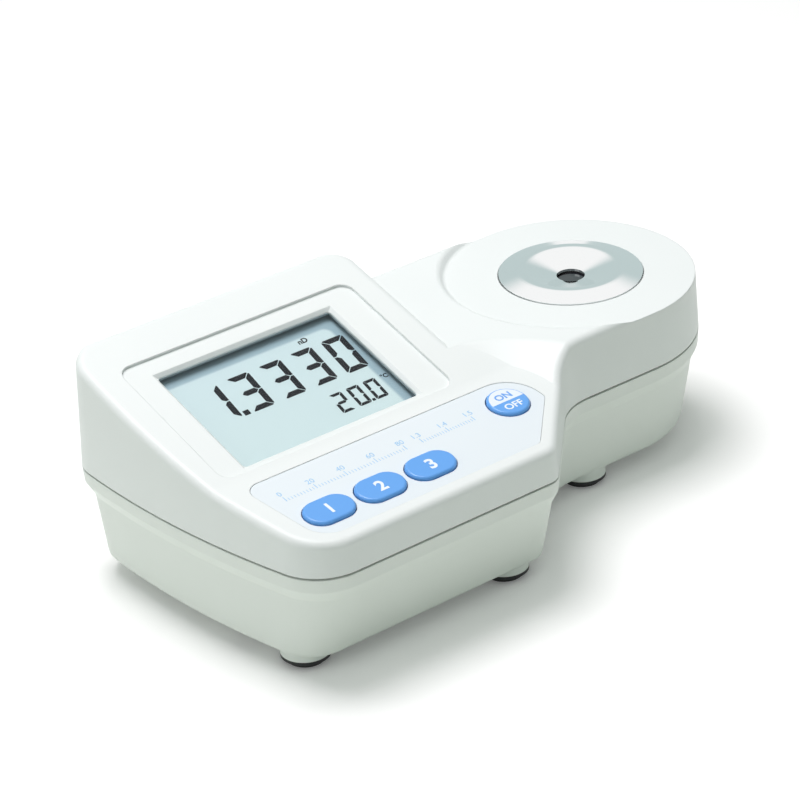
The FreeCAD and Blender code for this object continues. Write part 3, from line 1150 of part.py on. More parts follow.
FACE_X = "sizes.optics_reach * sin(%s)" % TILT
FACE_Z = "%s - sizes.optics_reach * cos(%s)" % (PRISM_FOOT, TILT)
FACE_DX = "sizes.optics_face * cos(%s)" % TILT
FACE_DZ = "sizes.optics_face * sin(%s)" % TILT
optics_body = front_profile("optics_body", [
    ("-sizes.optics_half", OPTICS_TOP), ("-(%s + %s)" % (FACE_X, FACE_DX), "%s + %s" % (FACE_Z, FACE_DZ)),
    ("-(%s - %s)" % (FACE_X, FACE_DX), "%s - %s" % (FACE_Z, FACE_DZ)),
    ("%s - %s" % (FACE_X, FACE_DX), "%s - %s" % (FACE_Z, FACE_DZ)),
    ("%s + %s" % (FACE_X, FACE_DX), "%s + %s" % (FACE_Z, FACE_DZ)),
    ("sizes.optics_half", OPTICS_TOP)], "sizes.optics_width", LOBE_Y)
prism_carrier = cylinder("prism_carrier", "sizes.well_bore - sizes.clearance",
                         "%s - %s + 1" % (PRISM_FOOT, OPTICS_TOP), LOBE_X, LOBE_Y, OPTICS_TOP + " - 1")
far_end = "sizes.optics_reach + 6"
light_path = path_cylinder("light_path", -1, "sizes.light_bore", "-3", far_end)
lens_path = path_cylinder("lens_path", 1, "sizes.sensor_bore", "-3", far_end)
path_top = block("path_top", "60", "60", "20", LOBE_X, LOBE_Y, OPTICS_TOP + " - 3")
lens_room = combine("Cut", "lens_room", lens_path, path_top)
window_room = block("window_room", "sizes.prism_foot - 1.2", "4", "12", LOBE_X, LOBE_Y, PRISM_FOOT + " - 10")
optics_holes = [cylinder("optics_hole%d" % i, "sizes.screw_radius + 0.1", "40", x, y, OPTICS_TOP + " - 30")
                for i, (x, y) in enumerate(OPTICS_SCREWS)]
head_rooms = [cylinder("optics_head_room%d" % i, "sizes.screw_head + 0.3", "30", x, y,
                       OPTICS_TOP + " - 33.5") for i, (x, y) in enumerate(OPTICS_SCREWS)]
optical_block = combine("Cut", "optical_block", combine("Fuse", "optics_solid", optics_body, prism_carrier),
                        light_path, lens_room, window_room, *optics_holes, *head_rooms)
light_source = combine("Fuse", "light_source",
                       path_cylinder("led_barrel", -1, "sizes.light_bore - 0.2", "sizes.optics_reach - 7",
                                     "sizes.optics_reach + 0.2"),
                       path_cylinder("led_base", -1, "sizes.light_bore + 2", "sizes.optics_reach + 0.05",
                                     "sizes.optics_reach + 1.8"))
focus_lens = path_cylinder("focus_lens", 1, "sizes.sensor_bore - 0.05", "sizes.lens_place",
                           "sizes.lens_place + sizes.lens_thick")
sensor_board = path_block("sensor_board", 1, "sizes.optics_face * 2 - 1", "18", "sizes.optics_reach + 0.05",
                          "sizes.optics_reach + 1.65")
image_sensor = path_block("image_sensor", 1, "5", "5", "sizes.optics_reach - 1.5", "sizes.optics_reach + 0.05")
temperature_sensor = cylinder("temperature_sensor", "1.25", "3.8",
                              "%s - (sizes.well_bore + sizes.neck_radius) / 2" % LOBE_X, LOBE_Y, OPTICS_TOP)
optics_screws = group("optics_screws", [
    screw("optics_screw%d" % i, x, y, OPTICS_TOP + " - 3.5", "7", "sizes.screw_radius", "sizes.screw_head")
    for i, (x, y) in enumerate(OPTICS_SCREWS)])

# Main board with its parts
main_plate = block("main_plate", "sizes.main_length", "sizes.main_width", "sizes.board_thick", MAIN_X, MAIN_Y,
                   MAIN_Z)
lead_hole = block("lead_hole", "4", "8", "6", LEAD_X, LID_Y, MAIN_Z + " - 2")
main_board = combine("Cut", "main_board", main_plate, lead_hole,
                     *[cylinder("main_hole%d" % i, "sizes.screw_radius + 0.1", "6", x, y, MAIN_Z + " - 2")
                       for i, (x, y) in enumerate(MAIN_SCREWS)])
microcontroller = block("microcontroller", "12", "12", "1.4", LID_X + " - 6", LID_Y + " + 12", BOARD_TOP)
board_parts = group("board_parts", [
    block("ribbon_socket", "16", "3", "2.2", LEFT + " + 66", RIBBON_Y + " + 1.8", BOARD_TOP),
    block("power_socket", "7", "11", "2.6", LEAD_X, LID_Y, BOARD_TOP),
    block("optics_socket", "5", "10", "2.6", LID_X + " + 30", LID_Y + " + 15", BOARD_TOP),
    cylinder("capacitor", "2.5", "2.2", LID_X + " + 14", LID_Y + " + 14", BOARD_TOP),
    block("regulator", "6.5", "3.5", "1.6", LID_X + " + 14", LID_Y + " + 24", BOARD_TOP),
    cylinder("buzzer", "4.5", "2", LID_X + " - 20", LID_Y + " + 22", BOARD_TOP)])
slope_screws = []
for slope, spots_list, top in ((KEYPAD, KEYPAD_SCREWS, KEY_BOARD_TOP), (DISPLAY, LCD_SCREWS, LCD_BOARD_TOP)):
    for number, (x, v) in enumerate(spots_list):
        low = "-%s - sizes.board_thick" % top
        name = "slope_screw%d" % len(slope_screws)
        shank = slope_post(name + "_shank", slope, x, v, "sizes.screw_radius", low, "sizes.screw_length")
        cap = slope_post(name + "_cap", slope, x, v, "sizes.screw_head", low + " - 1.4", "1.4")
        slope_screws.append(combine("Fuse", name, shank, cap))
flat_screws = [screw("main_screw%d" % i, x, y, BOARD_TOP, "sizes.screw_length", "sizes.screw_radius",
                     "sizes.screw_head", False) for i, (x, y) in enumerate(MAIN_SCREWS)]
board_screws = group("board_screws", slope_screws + flat_screws)

# Battery with its snap and leads
battery_body = new_body("battery_body")
battery_case = pad(battery_body, polygon(battery_body, "battery_section", [
    (LID_Y + " - sizes.battery_width / 2", BATTERY_Z), (LID_Y + " + sizes.battery_width / 2", BATTERY_Z),
    (LID_Y + " + sizes.battery_width / 2", BATTERY_Z + " + sizes.battery_height"),
    (LID_Y + " - sizes.battery_width / 2", BATTERY_Z + " + sizes.battery_height")],
    BATTERY_X + " - sizes.battery_length / 2", "YZ_Plane"), "sizes.battery_length - sizes.terminal_length + 0.1")
doc.recompute()
long_edges = [n for n, e in enumerate(battery_case.Shape.Edges, start=1)
              if e.BoundBox.XLength > val("sizes.battery_length") - 5]
fillet(battery_body, "battery_corners", battery_case, long_edges, "1.8")
END_X = "(%s + sizes.battery_length / 2)" % BATTERY_X
MID_Z = "(%s + sizes.battery_height / 2)" % BATTERY_Z
terminals = [cylinder("terminal%d" % i, radius, "sizes.terminal_length", END_X + " - sizes.terminal_length",
                      "%s + %s" % (LID_Y, offset), MID_Z, "90", (0, 1, 0))
             for i, (radius, offset) in enumerate((("2.9", "-6.35"), ("3.8", "6.35")))]
battery = combine("Fuse", "battery", battery_body, *terminals)
battery_snap = block("battery_snap", "sizes.snap_thick - 2 * sizes.slip", "sizes.snap_length",
                     "sizes.snap_width", END_X + " + sizes.snap_thick / 2 - sizes.slip", LID_Y,
                     MID_Z + " - sizes.snap_width / 2")


def lead(name, y):
    """One insulated lead: out of the snap, round a bend and up to the plug under its socket."""
    radius, stub, bend = val("sizes.lead_radius"), val("sizes.lead_stub"), val("sizes.lead_bend")
    start = FreeCAD.Vector(val(END_X) + val("sizes.snap_thick - 0.2"), val(LID_Y) + y, val(MID_Z))
    turn = start + FreeCAD.Vector(stub, 0, 0)
    centre = turn + FreeCAD.Vector(0, 0, bend)
    middle = centre + FreeCAD.Vector(math.sqrt(0.5), 0, -math.sqrt(0.5)) * bend
    rise = centre + FreeCAD.Vector(bend, 0, 0)
    end = FreeCAD.Vector(rise.x, rise.y, val(BOARD_TOP))
    path = Part.Wire([Part.LineSegment(start, turn).toShape(), Part.Arc(turn, middle, rise).toShape(),
                      Part.LineSegment(rise, end).toShape()])
    section = Part.Wire([Part.Circle(start, FreeCAD.Vector(1, 0, 0), radius).toShape()])
    obj = doc.addObject("Part::Feature", name)
    obj.Shape = path.makePipeShell([section], True, True)
    return obj


battery_leads = group("battery_leads", [lead("lead_red", -1.6), lead("lead_black", 1.6)])

# Battery cover: disc, rim with bayonet lugs, seal and pad
lid_disc = cylinder("lid_disc", "sizes.lid_radius", "sizes.lid_thick", LID_X, LID_Y, FLOOR)
lid_plug = ring("lid_plug", PLUG_R, PLUG_R + " - sizes.plug_wall",
                "%s - %s - sizes.lid_thick + 0.1" % (PLUG_TOP, FLOOR), LID_X, LID_Y,
                FLOOR + " + sizes.lid_thick - 0.1")
lug_cuts = cylinder("lug_core", PLUG_R + " - 0.5", "10", LID_X, LID_Y, LUG_Z + " - 2")
lugs = [combine("Cut", "lug%d" % turn,
                sector("lug_sector%d" % turn, LUG_R, "sizes.lug_height", "sizes.lug_angle",
                       "%d - sizes.lug_angle / 2" % turn, LUG_Z), lug_cuts) for turn in LUG_TURNS]
seal_groove = ring("seal_groove", SEAL_R + " + sizes.seal_section / 2 + 0.1",
                   SEAL_R + " - sizes.seal_section / 2 - 0.1", "2",
                   LID_X, LID_Y, FLOOR + " + sizes.lid_thick - sizes.seal_section + 0.2")
coin_body = new_body("coin_body")
pad(coin_body, stadium(coin_body, "coin_outline", FLOOR + " - 1", LID_X, LID_Y, "sizes.coin_length",
                       "sizes.coin_width"), "sizes.coin_depth + 1")
battery_cover = combine("Cut", "battery_cover", combine("Fuse", "lid_solid", lid_disc, lid_plug, *lugs),
                        seal_groove, coin_body)
battery_cover_seal = ring("battery_cover_seal", SEAL_R + " + sizes.seal_section / 2",
                          SEAL_R + " - sizes.seal_section / 2", "sizes.seal_section",
                          LID_X, LID_Y, FLOOR + " + sizes.lid_thick - sizes.seal_section + 0.2")
battery_pad = cylinder("battery_pad", PLUG_R + " - sizes.plug_wall - 0.5",
                       "%s - %s - sizes.lid_thick" % (PLUG_TOP, FLOOR), LID_X, LID_Y,
                       FLOOR + " + sizes.lid_thick")

NODES = {
    "top_cover": top_cover, "bottom_case": bottom_case, "housing_gasket": housing_gasket,
    "display_window": display_window, "window_gasket": window_gasket, "lcd_glass": lcd_glass,
    "lcd_holder": lcd_holder, "zebra_strips": zebra_strips, "lcd_board": lcd_board,
    "keypad_overlay": keypad_overlay, **keys, "snap_domes": snap_domes, "keypad_board": keypad_board,
    "keypad_ribbon": keypad_ribbon, "sample_well": sample_well, "well_seal": well_seal,
    "well_nut": well_nut, "prism": prism, "prism_seal": prism_seal, "optical_block": optical_block,
    "light_source": light_source, "focus_lens": focus_lens, "image_sensor": image_sensor,
    "sensor_board": sensor_board, "temperature_sensor": temperature_sensor,
    "optics_screws": optics_screws, "main_board": main_board, "microcontroller": microcontroller,
    "board_parts": board_parts, "board_screws": board_screws, "battery": battery,
    "battery_snap": battery_snap, "battery_leads": battery_leads, "battery_cover": battery_cover,
    "battery_cover_seal": battery_cover_seal, "battery_pad": battery_pad,
    "case_screws": case_screws, **feet,
}

doc.recompute()
for obj in doc.Objects:
    if "Invalid" in obj.State or "Error" in obj.State:
        raise RuntimeError("%s did not build: %s" % (obj.Name, obj.State))
for name, node in NODES.items():
    node.Label = name
    if node.Shape.isNull() or not node.Shape.isValid() or not node.Shape.Solids:
        raise RuntimeError("%s has no valid solid" % name)
os.makedirs("parts", exist_ok=True)
for name, node in NODES.items():
    node.Shape.exportStep("parts/%s.step" % name)
    print("%-20s %d solids %8.0f mm3" % (name, len(node.Shape.Solids), node.Shape.Volume))
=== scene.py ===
# Digital refractometer: finishes, LCD digits, key marks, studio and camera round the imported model.
# Metres. X to the user's right, Y away from the user, Z up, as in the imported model.
import json
import math

import bpy
from mathutils import Matrix, Vector


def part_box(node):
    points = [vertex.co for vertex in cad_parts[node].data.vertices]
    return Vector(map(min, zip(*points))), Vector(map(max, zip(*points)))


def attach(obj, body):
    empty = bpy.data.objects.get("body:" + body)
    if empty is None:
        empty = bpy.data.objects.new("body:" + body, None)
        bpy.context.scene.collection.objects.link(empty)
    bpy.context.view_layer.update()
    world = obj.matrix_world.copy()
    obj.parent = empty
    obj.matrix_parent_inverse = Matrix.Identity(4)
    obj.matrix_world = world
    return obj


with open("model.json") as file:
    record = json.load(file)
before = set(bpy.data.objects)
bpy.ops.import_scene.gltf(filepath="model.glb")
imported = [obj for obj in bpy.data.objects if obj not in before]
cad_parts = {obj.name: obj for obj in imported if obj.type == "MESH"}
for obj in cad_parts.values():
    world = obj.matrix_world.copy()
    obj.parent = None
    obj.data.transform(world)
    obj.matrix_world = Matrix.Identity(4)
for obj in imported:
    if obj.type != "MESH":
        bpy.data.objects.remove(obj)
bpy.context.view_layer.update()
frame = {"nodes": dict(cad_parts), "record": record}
NODES = frame["nodes"]
MM = 0.001
KEYPAD_TILT = math.radians(8.6)
DISPLAY_TILT = math.radians(16.0)
LCD_THICK = 2.2 * MM
SHEET_THICK = 0.5 * MM
# Printing and LCD segments stand this far off the face under them
INK = 0.03 * MM


# Frames on the two sloped faces
class Slope:
    """Upper face of a sloped plate: X from its left edge, Y up the slope from its front edge, Z off it."""

    def __init__(self, node, tilt, thickness):
        low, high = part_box(node)
        self.tilt = tilt
        self.left = low[0]
        self.origin = Vector((low[0], low[1], low[2] + thickness * math.cos(tilt)))
        self.matrix = Matrix.Translation(self.origin) @ Matrix.Rotation(tilt, 4, "X")


lcd_face = Slope("lcd_glass", DISPLAY_TILT, LCD_THICK)
sheet_face = Slope("keypad_overlay", KEYPAD_TILT, SHEET_THICK)


def middle(node, axis):
    low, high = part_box(node)
    return (low[axis] + high[axis]) / 2


# Node helpers
class Shader:
    """A new material's node tree with short calls to add and join nodes."""

    def __init__(self, name):
        self.material = bpy.data.materials.new(name)
        self.material.use_nodes = True
        self.take(self.material.node_tree, "ShaderNodeOutputMaterial")

    @classmethod
    def of_world(cls, world):
        """The same calls for a world's tree."""
        shader = cls.__new__(cls)
        shader.take(world.node_tree, "ShaderNodeOutputWorld")
        return shader

    def take(self, tree, output):
        self.tree = tree
        self.tree.nodes.clear()
        self.out = self.tree.nodes.new(output)

    def node(self, kind, *links, **values):
        """Add a node, set its properties or sockets, and feed its first inputs."""
        node = self.tree.nodes.new("ShaderNode" + kind)
        for key, value in values.items():
            if hasattr(node, key):
                setattr(node, key, value)
            else:
                node.inputs[key.replace("_", " ")].default_value = value
        for socket, link in zip(node.inputs, links):
            self.feed(socket, link)
        return node

    def feed(self, socket, value):
        if isinstance(value, bpy.types.NodeSocket):
            self.tree.links.new(value, socket)
        elif value is not None:
            socket.default_value = value

    def principled(self, color, roughness, **values):
        node = self.tree.nodes.new("ShaderNodeBsdfPrincipled")
        node.inputs["Base Color"].default_value = (*color, 1.0)
        node.inputs["Roughness"].default_value = roughness
        for key, value in values.items():
            node.inputs[key.replace("_", " ")].default_value = value
        self.tree.links.new(node.outputs[0], self.out.inputs["Surface"])
        return node

    def math(self, operation, first, second=0.0):
        return self.node("Math", first, second, operation=operation).outputs[0]

    def step(self, value, edge, softness):
        """0 below the edge and 1 above it, over a soft width."""
        node = self.node("MapRange", value)
        node.interpolation_type = "SMOOTHSTEP"
        node.inputs["From Min"].default_value = edge - softness / 2
        node.inputs["From Max"].default_value = edge + softness / 2
        return node.outputs[0]

    def position(self):
        return self.node("TexCoord").outputs["Object"]

    def on_face(self, slope):
        """Place on a sloped face: distances along it, up it and off it."""
        turned = Matrix.Rotation(-slope.tilt, 3, "X") @ slope.origin
        mapping = self.node("Mapping", self.position())
        mapping.inputs["Location"].default_value = -turned
        mapping.inputs["Rotation"].default_value = (-slope.tilt, 0, 0)
        return self.node("SeparateXYZ", mapping.outputs[0]).outputs

    def noise(self, scale, detail=2.0):
        node = self.node("TexNoise", self.position(), Scale=scale, Detail=detail)
        return node.outputs["Fac"]

    def blend(self, factor, low, high):
        """Colour between two colours or sockets."""
        node = self.node("Mix", data_type="RGBA")
        self.feed(node.inputs[0], factor)
        for socket, color in ((node.inputs[6], low), (node.inputs[7], high)):
            self.feed(socket, (*color, 1.0) if isinstance(color, tuple) else color)
        return node.outputs[2]

    def ramp(self, factor, low, high, positions=(0.0, 1.0)):
        node = self.node("ValToRGB", factor)
        for element, color, position in zip(node.color_ramp.elements, (low, high), positions):
            element.color = (*color, 1.0)
            element.position = position
        return node.outputs["Color"]

    def bump(self, height, distance, normal=None):
        node = self.node("Bump", Distance=distance)
        self.feed(node.inputs["Height"], height)
        self.feed(node.inputs["Normal"], normal)
        return node.outputs["Normal"]


def spread(color, amount):
    """A slightly darker and a slightly lighter tone."""
    return tuple(max(0.0, c - amount) for c in color), tuple(min(1.0, c + amount) for c in color)


# Finishes
SOFT_EDGE = 0.45 * MM
RUBBER_BELOW = 2.6 * MM
RUBBER_BLACK = (0.012, 0.012, 0.013)


def moulded(name, color, roughness, grain=0.01, grain_scale=3200.0, uneven=0.008, shell=False, **values):
    """Moulded plastic or rubber: fine spark-eroded grain, in mm, and slightly uneven colour and gloss.

    A shell also has soft edges, and black rubber round the lowest part of its foot bosses.
    """
    shader = Shader(name)
    bsdf = shader.principled(color, roughness, **values)
    tone = shader.ramp(shader.noise(14.0, 3.0), *spread(color, uneven), (0.3, 0.7))
    edge = None
    if shell:
        height = shader.node("SeparateXYZ", shader.position()).outputs[2]
        tone = shader.blend(shader.step(height, RUBBER_BELOW, 0.05 * MM), RUBBER_BLACK, tone)
        edge = shader.node("Bevel", Radius=SOFT_EDGE).outputs[0]
    shader.feed(bsdf.inputs["Base Color"], tone)
    patches = shader.node("MapRange", shader.noise(60.0), To_Min=roughness - 0.04, To_Max=roughness + 0.04)
    shader.feed(bsdf.inputs["Roughness"], patches.outputs[0])
    if grain:
        shader.feed(bsdf.inputs["Normal"], shader.bump(shader.noise(grain_scale), grain * MM, edge))
    return shader.material


def metal(name, color, roughness, grain=0.0, grain_scale=900.0):
    """Bare metal with faint tool marks or a lightly scuffed polish."""
    shader = Shader(name)
    bsdf = shader.principled(color, roughness, Metallic=1.0)
    noise = shader.noise(grain_scale, 4.0)
    marks = shader.node("MapRange", noise, To_Min=roughness * 0.7, To_Max=roughness * 1.4)
    shader.feed(bsdf.inputs["Roughness"], marks.outputs[0])
    if grain:
        shader.feed(bsdf.inputs["Normal"], shader.bump(shader.noise(grain_scale, 3.0), grain * MM))
    return shader.material


def pane(name, tint):
    """Thin clear plastic: light goes straight through and its outer faces reflect their Fresnel share."""
    shader = Shader(name)
    clear = shader.node("BsdfTransparent", Color=(*tint, 1.0))
    haze = shader.node("MapRange", shader.noise(40.0), To_Min=0.02, To_Max=0.05)
    gloss = shader.node("BsdfGlossy")
    shader.feed(gloss.inputs["Roughness"], haze.outputs[0])
    outer = shader.math("SUBTRACT", 1.0, shader.node("NewGeometry").outputs["Backfacing"])
    share = shader.math("MULTIPLY", shader.node("Fresnel", IOR=1.28).outputs[0], outer)
    mix = shader.node("MixShader", share, clear.outputs[0], gloss.outputs[0])
    shader.feed(shader.out.inputs["Surface"], mix.outputs[0])
    return shader.material


def dark_glass(name):
    """Dark optical glass with the faint violet and amber of its coating."""
    shader = Shader(name)
    bsdf = shader.principled((0.02, 0.022, 0.026), 0.04, IOR=1.72)
    sheen = shader.ramp(shader.noise(120.0), (0.012, 0.013, 0.018), (0.035, 0.032, 0.034), (0.35, 0.65))
    shader.feed(bsdf.inputs["Base Color"], sheen)
    return shader.material


LCD_LIGHT = (0.64, 0.77, 0.80)
# Painted shade: the LCD is lighter lower down and darker towards the top, under the window's edge
LCD_PAINTED_LIT_LOW = (0.66, 0.79, 0.80)
# Painted shadow: a darker band along the LCD's top and right edges stands for the shade of the window's edge
LCD_PAINTED_SHADOW = (0.34, 0.47, 0.54)
SHADOW_BAND_ABOVE = 39.3 * MM
SHADOW_BAND_BEYOND = 57.2 * MM
SHADOW_BAND_CORNER = 2.5 * MM


def lcd_surface(name):
    """Grey-green LCD, painted lighter towards its bottom, with a painted shadow band along its top and right
    edges where the window's edge shades it.
    """
    shader = Shader(name)
    bsdf = shader.principled(LCD_LIGHT, 0.35)
    along, up, _ = shader.on_face(lcd_face)
    past = [shader.math("MAXIMUM", shader.math("SUBTRACT", value, edge - SHADOW_BAND_CORNER), 0.0)
            for value, edge in ((along, SHADOW_BAND_BEYOND), (up, SHADOW_BAND_ABOVE))]
    corner = shader.node("CombineXYZ", *past)
    distance = shader.node("VectorMath", corner.outputs[0], operation="LENGTH").outputs["Value"]
    # Painted shadow band along the top and right edges
    painted_shadow = shader.step(distance, SHADOW_BAND_CORNER, 1.3 * MM)
    # Painted shade: lighter towards the bottom, darker towards the top
    tone = shader.blend(shader.step(up, 20 * MM, 40 * MM), LCD_PAINTED_LIT_LOW, LCD_LIGHT)
    cloudy = shader.blend(shader.noise(25.0), tone, shader.blend(0.5, tone, (0.61, 0.74, 0.78)))
    shader.feed(bsdf.inputs["Base Color"], shader.blend(painted_shadow, cloudy, LCD_PAINTED_SHADOW))
    return shader.material


KEY_BLUE = (0.12, 0.37, 0.84)
KEY_WHITE = (0.80, 0.86, 0.93)
POWER_ROW = 19.2 * MM
KEY_ROW = 8.7 * MM
KEY_TOP = 1.0 * MM
POWER_FIELD = 5.35 * MM


def two_tone(name):
    """Round key: white above its middle line and blue below it, with a blue rim."""
    shader = Shader(name)
    bsdf = shader.principled(KEY_BLUE, 0.3)
    along, up, off = shader.on_face(sheet_face)
    sideways = shader.math("SUBTRACT", along, middle("key_power", 0) - sheet_face.left)
    upward = shader.math("SUBTRACT", up, POWER_ROW)
    distance = shader.node("VectorMath", shader.node("CombineXYZ", sideways, upward).outputs[0],
                           operation="LENGTH").outputs["Value"]
    inside = shader.math("SUBTRACT", 1.0, shader.step(distance, POWER_FIELD, 0.1 * MM))
    above = shader.step(upward, 0.0, 0.1 * MM)
    raised = shader.step(off, 0.0, 0.2 * MM)
    field = shader.math("MULTIPLY", shader.math("MULTIPLY", inside, above), raised)
    shader.feed(bsdf.inputs["Base Color"], shader.blend(field, KEY_BLUE, KEY_WHITE))
    shader.feed(bsdf.inputs["Normal"], shader.bump(shader.noise(2600.0), 0.004 * MM))
    return shader.material


def split_leads(name):
    """Two insulated leads: red in front of the battery cover's middle, black behind it."""
    shader = Shader(name)
    bsdf = shader.principled((0.4, 0.02, 0.02), 0.4)
    depth = shader.node("SeparateXYZ", shader.position()).outputs[1]
    behind = shader.step(depth, middle("battery_leads", 1), 0.1 * MM)
    shader.feed(bsdf.inputs["Base Color"], shader.blend(behind, (0.45, 0.02, 0.02), (0.02, 0.02, 0.02)))
    return shader.material


def printed_board(name):
    """Circuit board: green mask with fine copper traces showing through."""
    shader = Shader(name)
    bsdf = shader.principled((0.02, 0.14, 0.06), 0.3)
    cells = shader.node("TexVoronoi", shader.position(), feature="DISTANCE_TO_EDGE", Scale=420.0)
    traces = shader.math("SUBTRACT", 1.0, shader.step(cells.outputs["Distance"], 0.05, 0.03))
    color = shader.blend(traces, (0.015, 0.12, 0.05), (0.03, 0.22, 0.09))
    shader.feed(bsdf.inputs["Base Color"], color)
    shader.feed(bsdf.inputs["Normal"], shader.bump(traces, 0.02 * MM))
    return shader.material


FINISHES = {
    "shell_white": moulded("shell_white", (0.81, 0.845, 0.84), 0.44, shell=True),
    "case_white": moulded("case_white", (0.80, 0.84, 0.81), 0.47, shell=True),
    "seal_olive": moulded("seal_olive", (0.13, 0.135, 0.085), 0.6),
    "clear_pane": pane("clear_pane", (0.975, 0.985, 0.985)),
    "seal_grey": moulded("seal_grey", (0.06, 0.06, 0.062), 0.6),
    "lcd": lcd_surface("lcd"),
    # Inner plastic is painted pale: painted light that lifts the deep shade of the LCD holder seen round the
    # LCD under the window
    "inner_plastic": moulded("inner_plastic", (0.60, 0.70, 0.74), 0.5),
    "zebra": moulded("zebra", (0.12, 0.12, 0.14), 0.6, grain_scale=1500.0),
    "board_green": printed_board("board_green"),
    "sheet_pale": moulded("sheet_pale", (0.77, 0.83, 0.87), 0.38, grain=0.004),
    "key_blue": moulded("key_blue", KEY_BLUE, 0.3, grain=0.004),
    "key_two_tone": two_tone("key_two_tone"),
    "dome_steel": metal("dome_steel", (0.60, 0.60, 0.58), 0.25, 0.01),
    "ribbon": moulded("ribbon", (0.55, 0.30, 0.06), 0.35),
    "ring_steel": metal("ring_steel", (0.91, 0.92, 0.92), 0.06),
    "nut_brass": metal("nut_brass", (0.70, 0.52, 0.22), 0.3, 0.01),
    "prism_glass": dark_glass("prism_glass"),
    "optics_alu": moulded("optics_alu", (0.02, 0.02, 0.022), 0.4, Metallic=0.4),
    "led_clear": moulded("led_clear", (0.80, 0.55, 0.12), 0.15, grain=0),
    "lens_glass": pane("lens_glass", (0.90, 0.95, 0.98)),
    "chip_black": moulded("chip_black", (0.02, 0.02, 0.022), 0.45, grain=0.02, uneven=0.004),
    "screw_steel": metal("screw_steel", (0.55, 0.55, 0.55), 0.3, 0.01),
    "battery_wrap": moulded("battery_wrap", (0.035, 0.045, 0.06), 0.3, grain=0, uneven=0.005),
    "lead_red_black": split_leads("lead_red_black"),
    "foam": moulded("foam", (0.03, 0.03, 0.03), 0.9, grain=0.3, grain_scale=1200.0, uneven=0.008),
    "foot_rubber": moulded("foot_rubber", (0.012, 0.012, 0.013), 0.55, grain=0.03, uneven=0.004),
}
# The seal round the window is painted paler than the other seals: painted light that lifts the deep shade
# where it shows at the window's edge over the LCD
LIFTED_PANE_SEAL = moulded("pane_seal_painted_lift", (0.42, 0.50, 0.54), 0.6)
for part in frame["record"]["subparts"]:
    materials = NODES[part["node"]].data.materials
    materials.clear()
    materials.append(LIFTED_PANE_SEAL if part["node"] == "window_gasket" else FINISHES[part["material_slot"]])


# Printing and LCD segments
def ink(name, color, roughness=0.4, **values):
    return moulded(name, color, roughness, grain=0.002, uneven=0.004, **values)


INKS = {"black": ink("segment_black", (0.008, 0.010, 0.014), Specular_IOR_Level=0.1),
        "white": ink("print_white", (0.85, 0.90, 0.97)),
        "blue": ink("print_blue", (0.13, 0.36, 0.83)),
        "pale_blue": ink("print_pale_blue", (0.33, 0.58, 0.84))}


def add_piece(name, mesh, color, body):
    piece = bpy.data.objects.new(name, mesh)
    bpy.context.collection.objects.link(piece)
    mesh.materials.clear()
    mesh.materials.append(INKS[color])
    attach(piece, body)
    return piece


class Print:
    """Flat marks gathered on one face, each a thin prism or a line of type."""

    def __init__(self, face, lift=0.0):
        self.matrix = face.matrix @ Matrix.Translation((0, 0, lift))
        self.points = []
        self.faces = []

    def outline(self, corners):
        """Thin prism over a polygon."""
        area = sum(a[0] * b[1] - b[0] * a[1] for a, b in zip(corners, corners[1:] + corners[:1]))
        if area < 0:
            corners = corners[::-1]
        start, count = len(self.points), len(corners)
        for height in (0.0, INK):
            self.points += [Vector((x, y, height)) for x, y in corners]
        self.faces.append([start + i for i in reversed(range(count))])
        self.faces.append([start + count + i for i in range(count)])
        for i in range(count):
            j = (i + 1) % count
            self.faces.append([start + i, start + j, start + count + j, start + count + i])

    def type(self, text, x, y, height, weight=0.0, slant=0.0, align="CENTER"):
        """A line of type whose capitals are of the given height; y is the letters' middle."""
        curve = bpy.data.curves.new("type", "FONT")
        curve.body = text
        curve.size = height / CAPITAL_SHARE
        curve.extrude = INK / 2
        curve.offset = weight
        curve.shear = slant
        curve.align_x = align
        obj = bpy.data.objects.new("type", curve)
        bpy.context.collection.objects.link(obj)
        bpy.context.view_layer.update()
        mesh = bpy.data.meshes.new_from_object(obj)
        bpy.data.objects.remove(obj)
        start = len(self.points)
        shift = Vector((x, y - height / 2, INK / 2))
        self.points += [vertex.co + shift for vertex in mesh.vertices]
        self.faces += [[start + i for i in face.vertices] for face in mesh.polygons]
        bpy.data.meshes.remove(mesh)

    def build(self, name, color, body):
        mesh = bpy.data.meshes.new(name)
        mesh.from_pydata([self.matrix @ point for point in self.points], [], self.faces)
        mesh.validate()
        return add_piece(name, mesh, color, body)


# Share of the built-in font's size that a capital letter is high
CAPITAL_SHARE = 0.73
SEGMENTS = {"0": "abcdef", "1": "bc", "2": "abged", "3": "abgcd", "4": "fgbc", "5": "afgcd", "6": "afgedc",
            "7": "abc", "8": "abcdefg", "9": "abcdfg"}
# Whether each outer segment lies across, and the sides from which it is mirrored
SEGMENT_SIDES = {"a": (True, 1, 1), "d": (True, 1, -1), "b": (False, 1, 1), "c": (False, 1, -1),
                 "e": (False, -1, -1), "f": (False, -1, 1)}
SLANT = 0.068


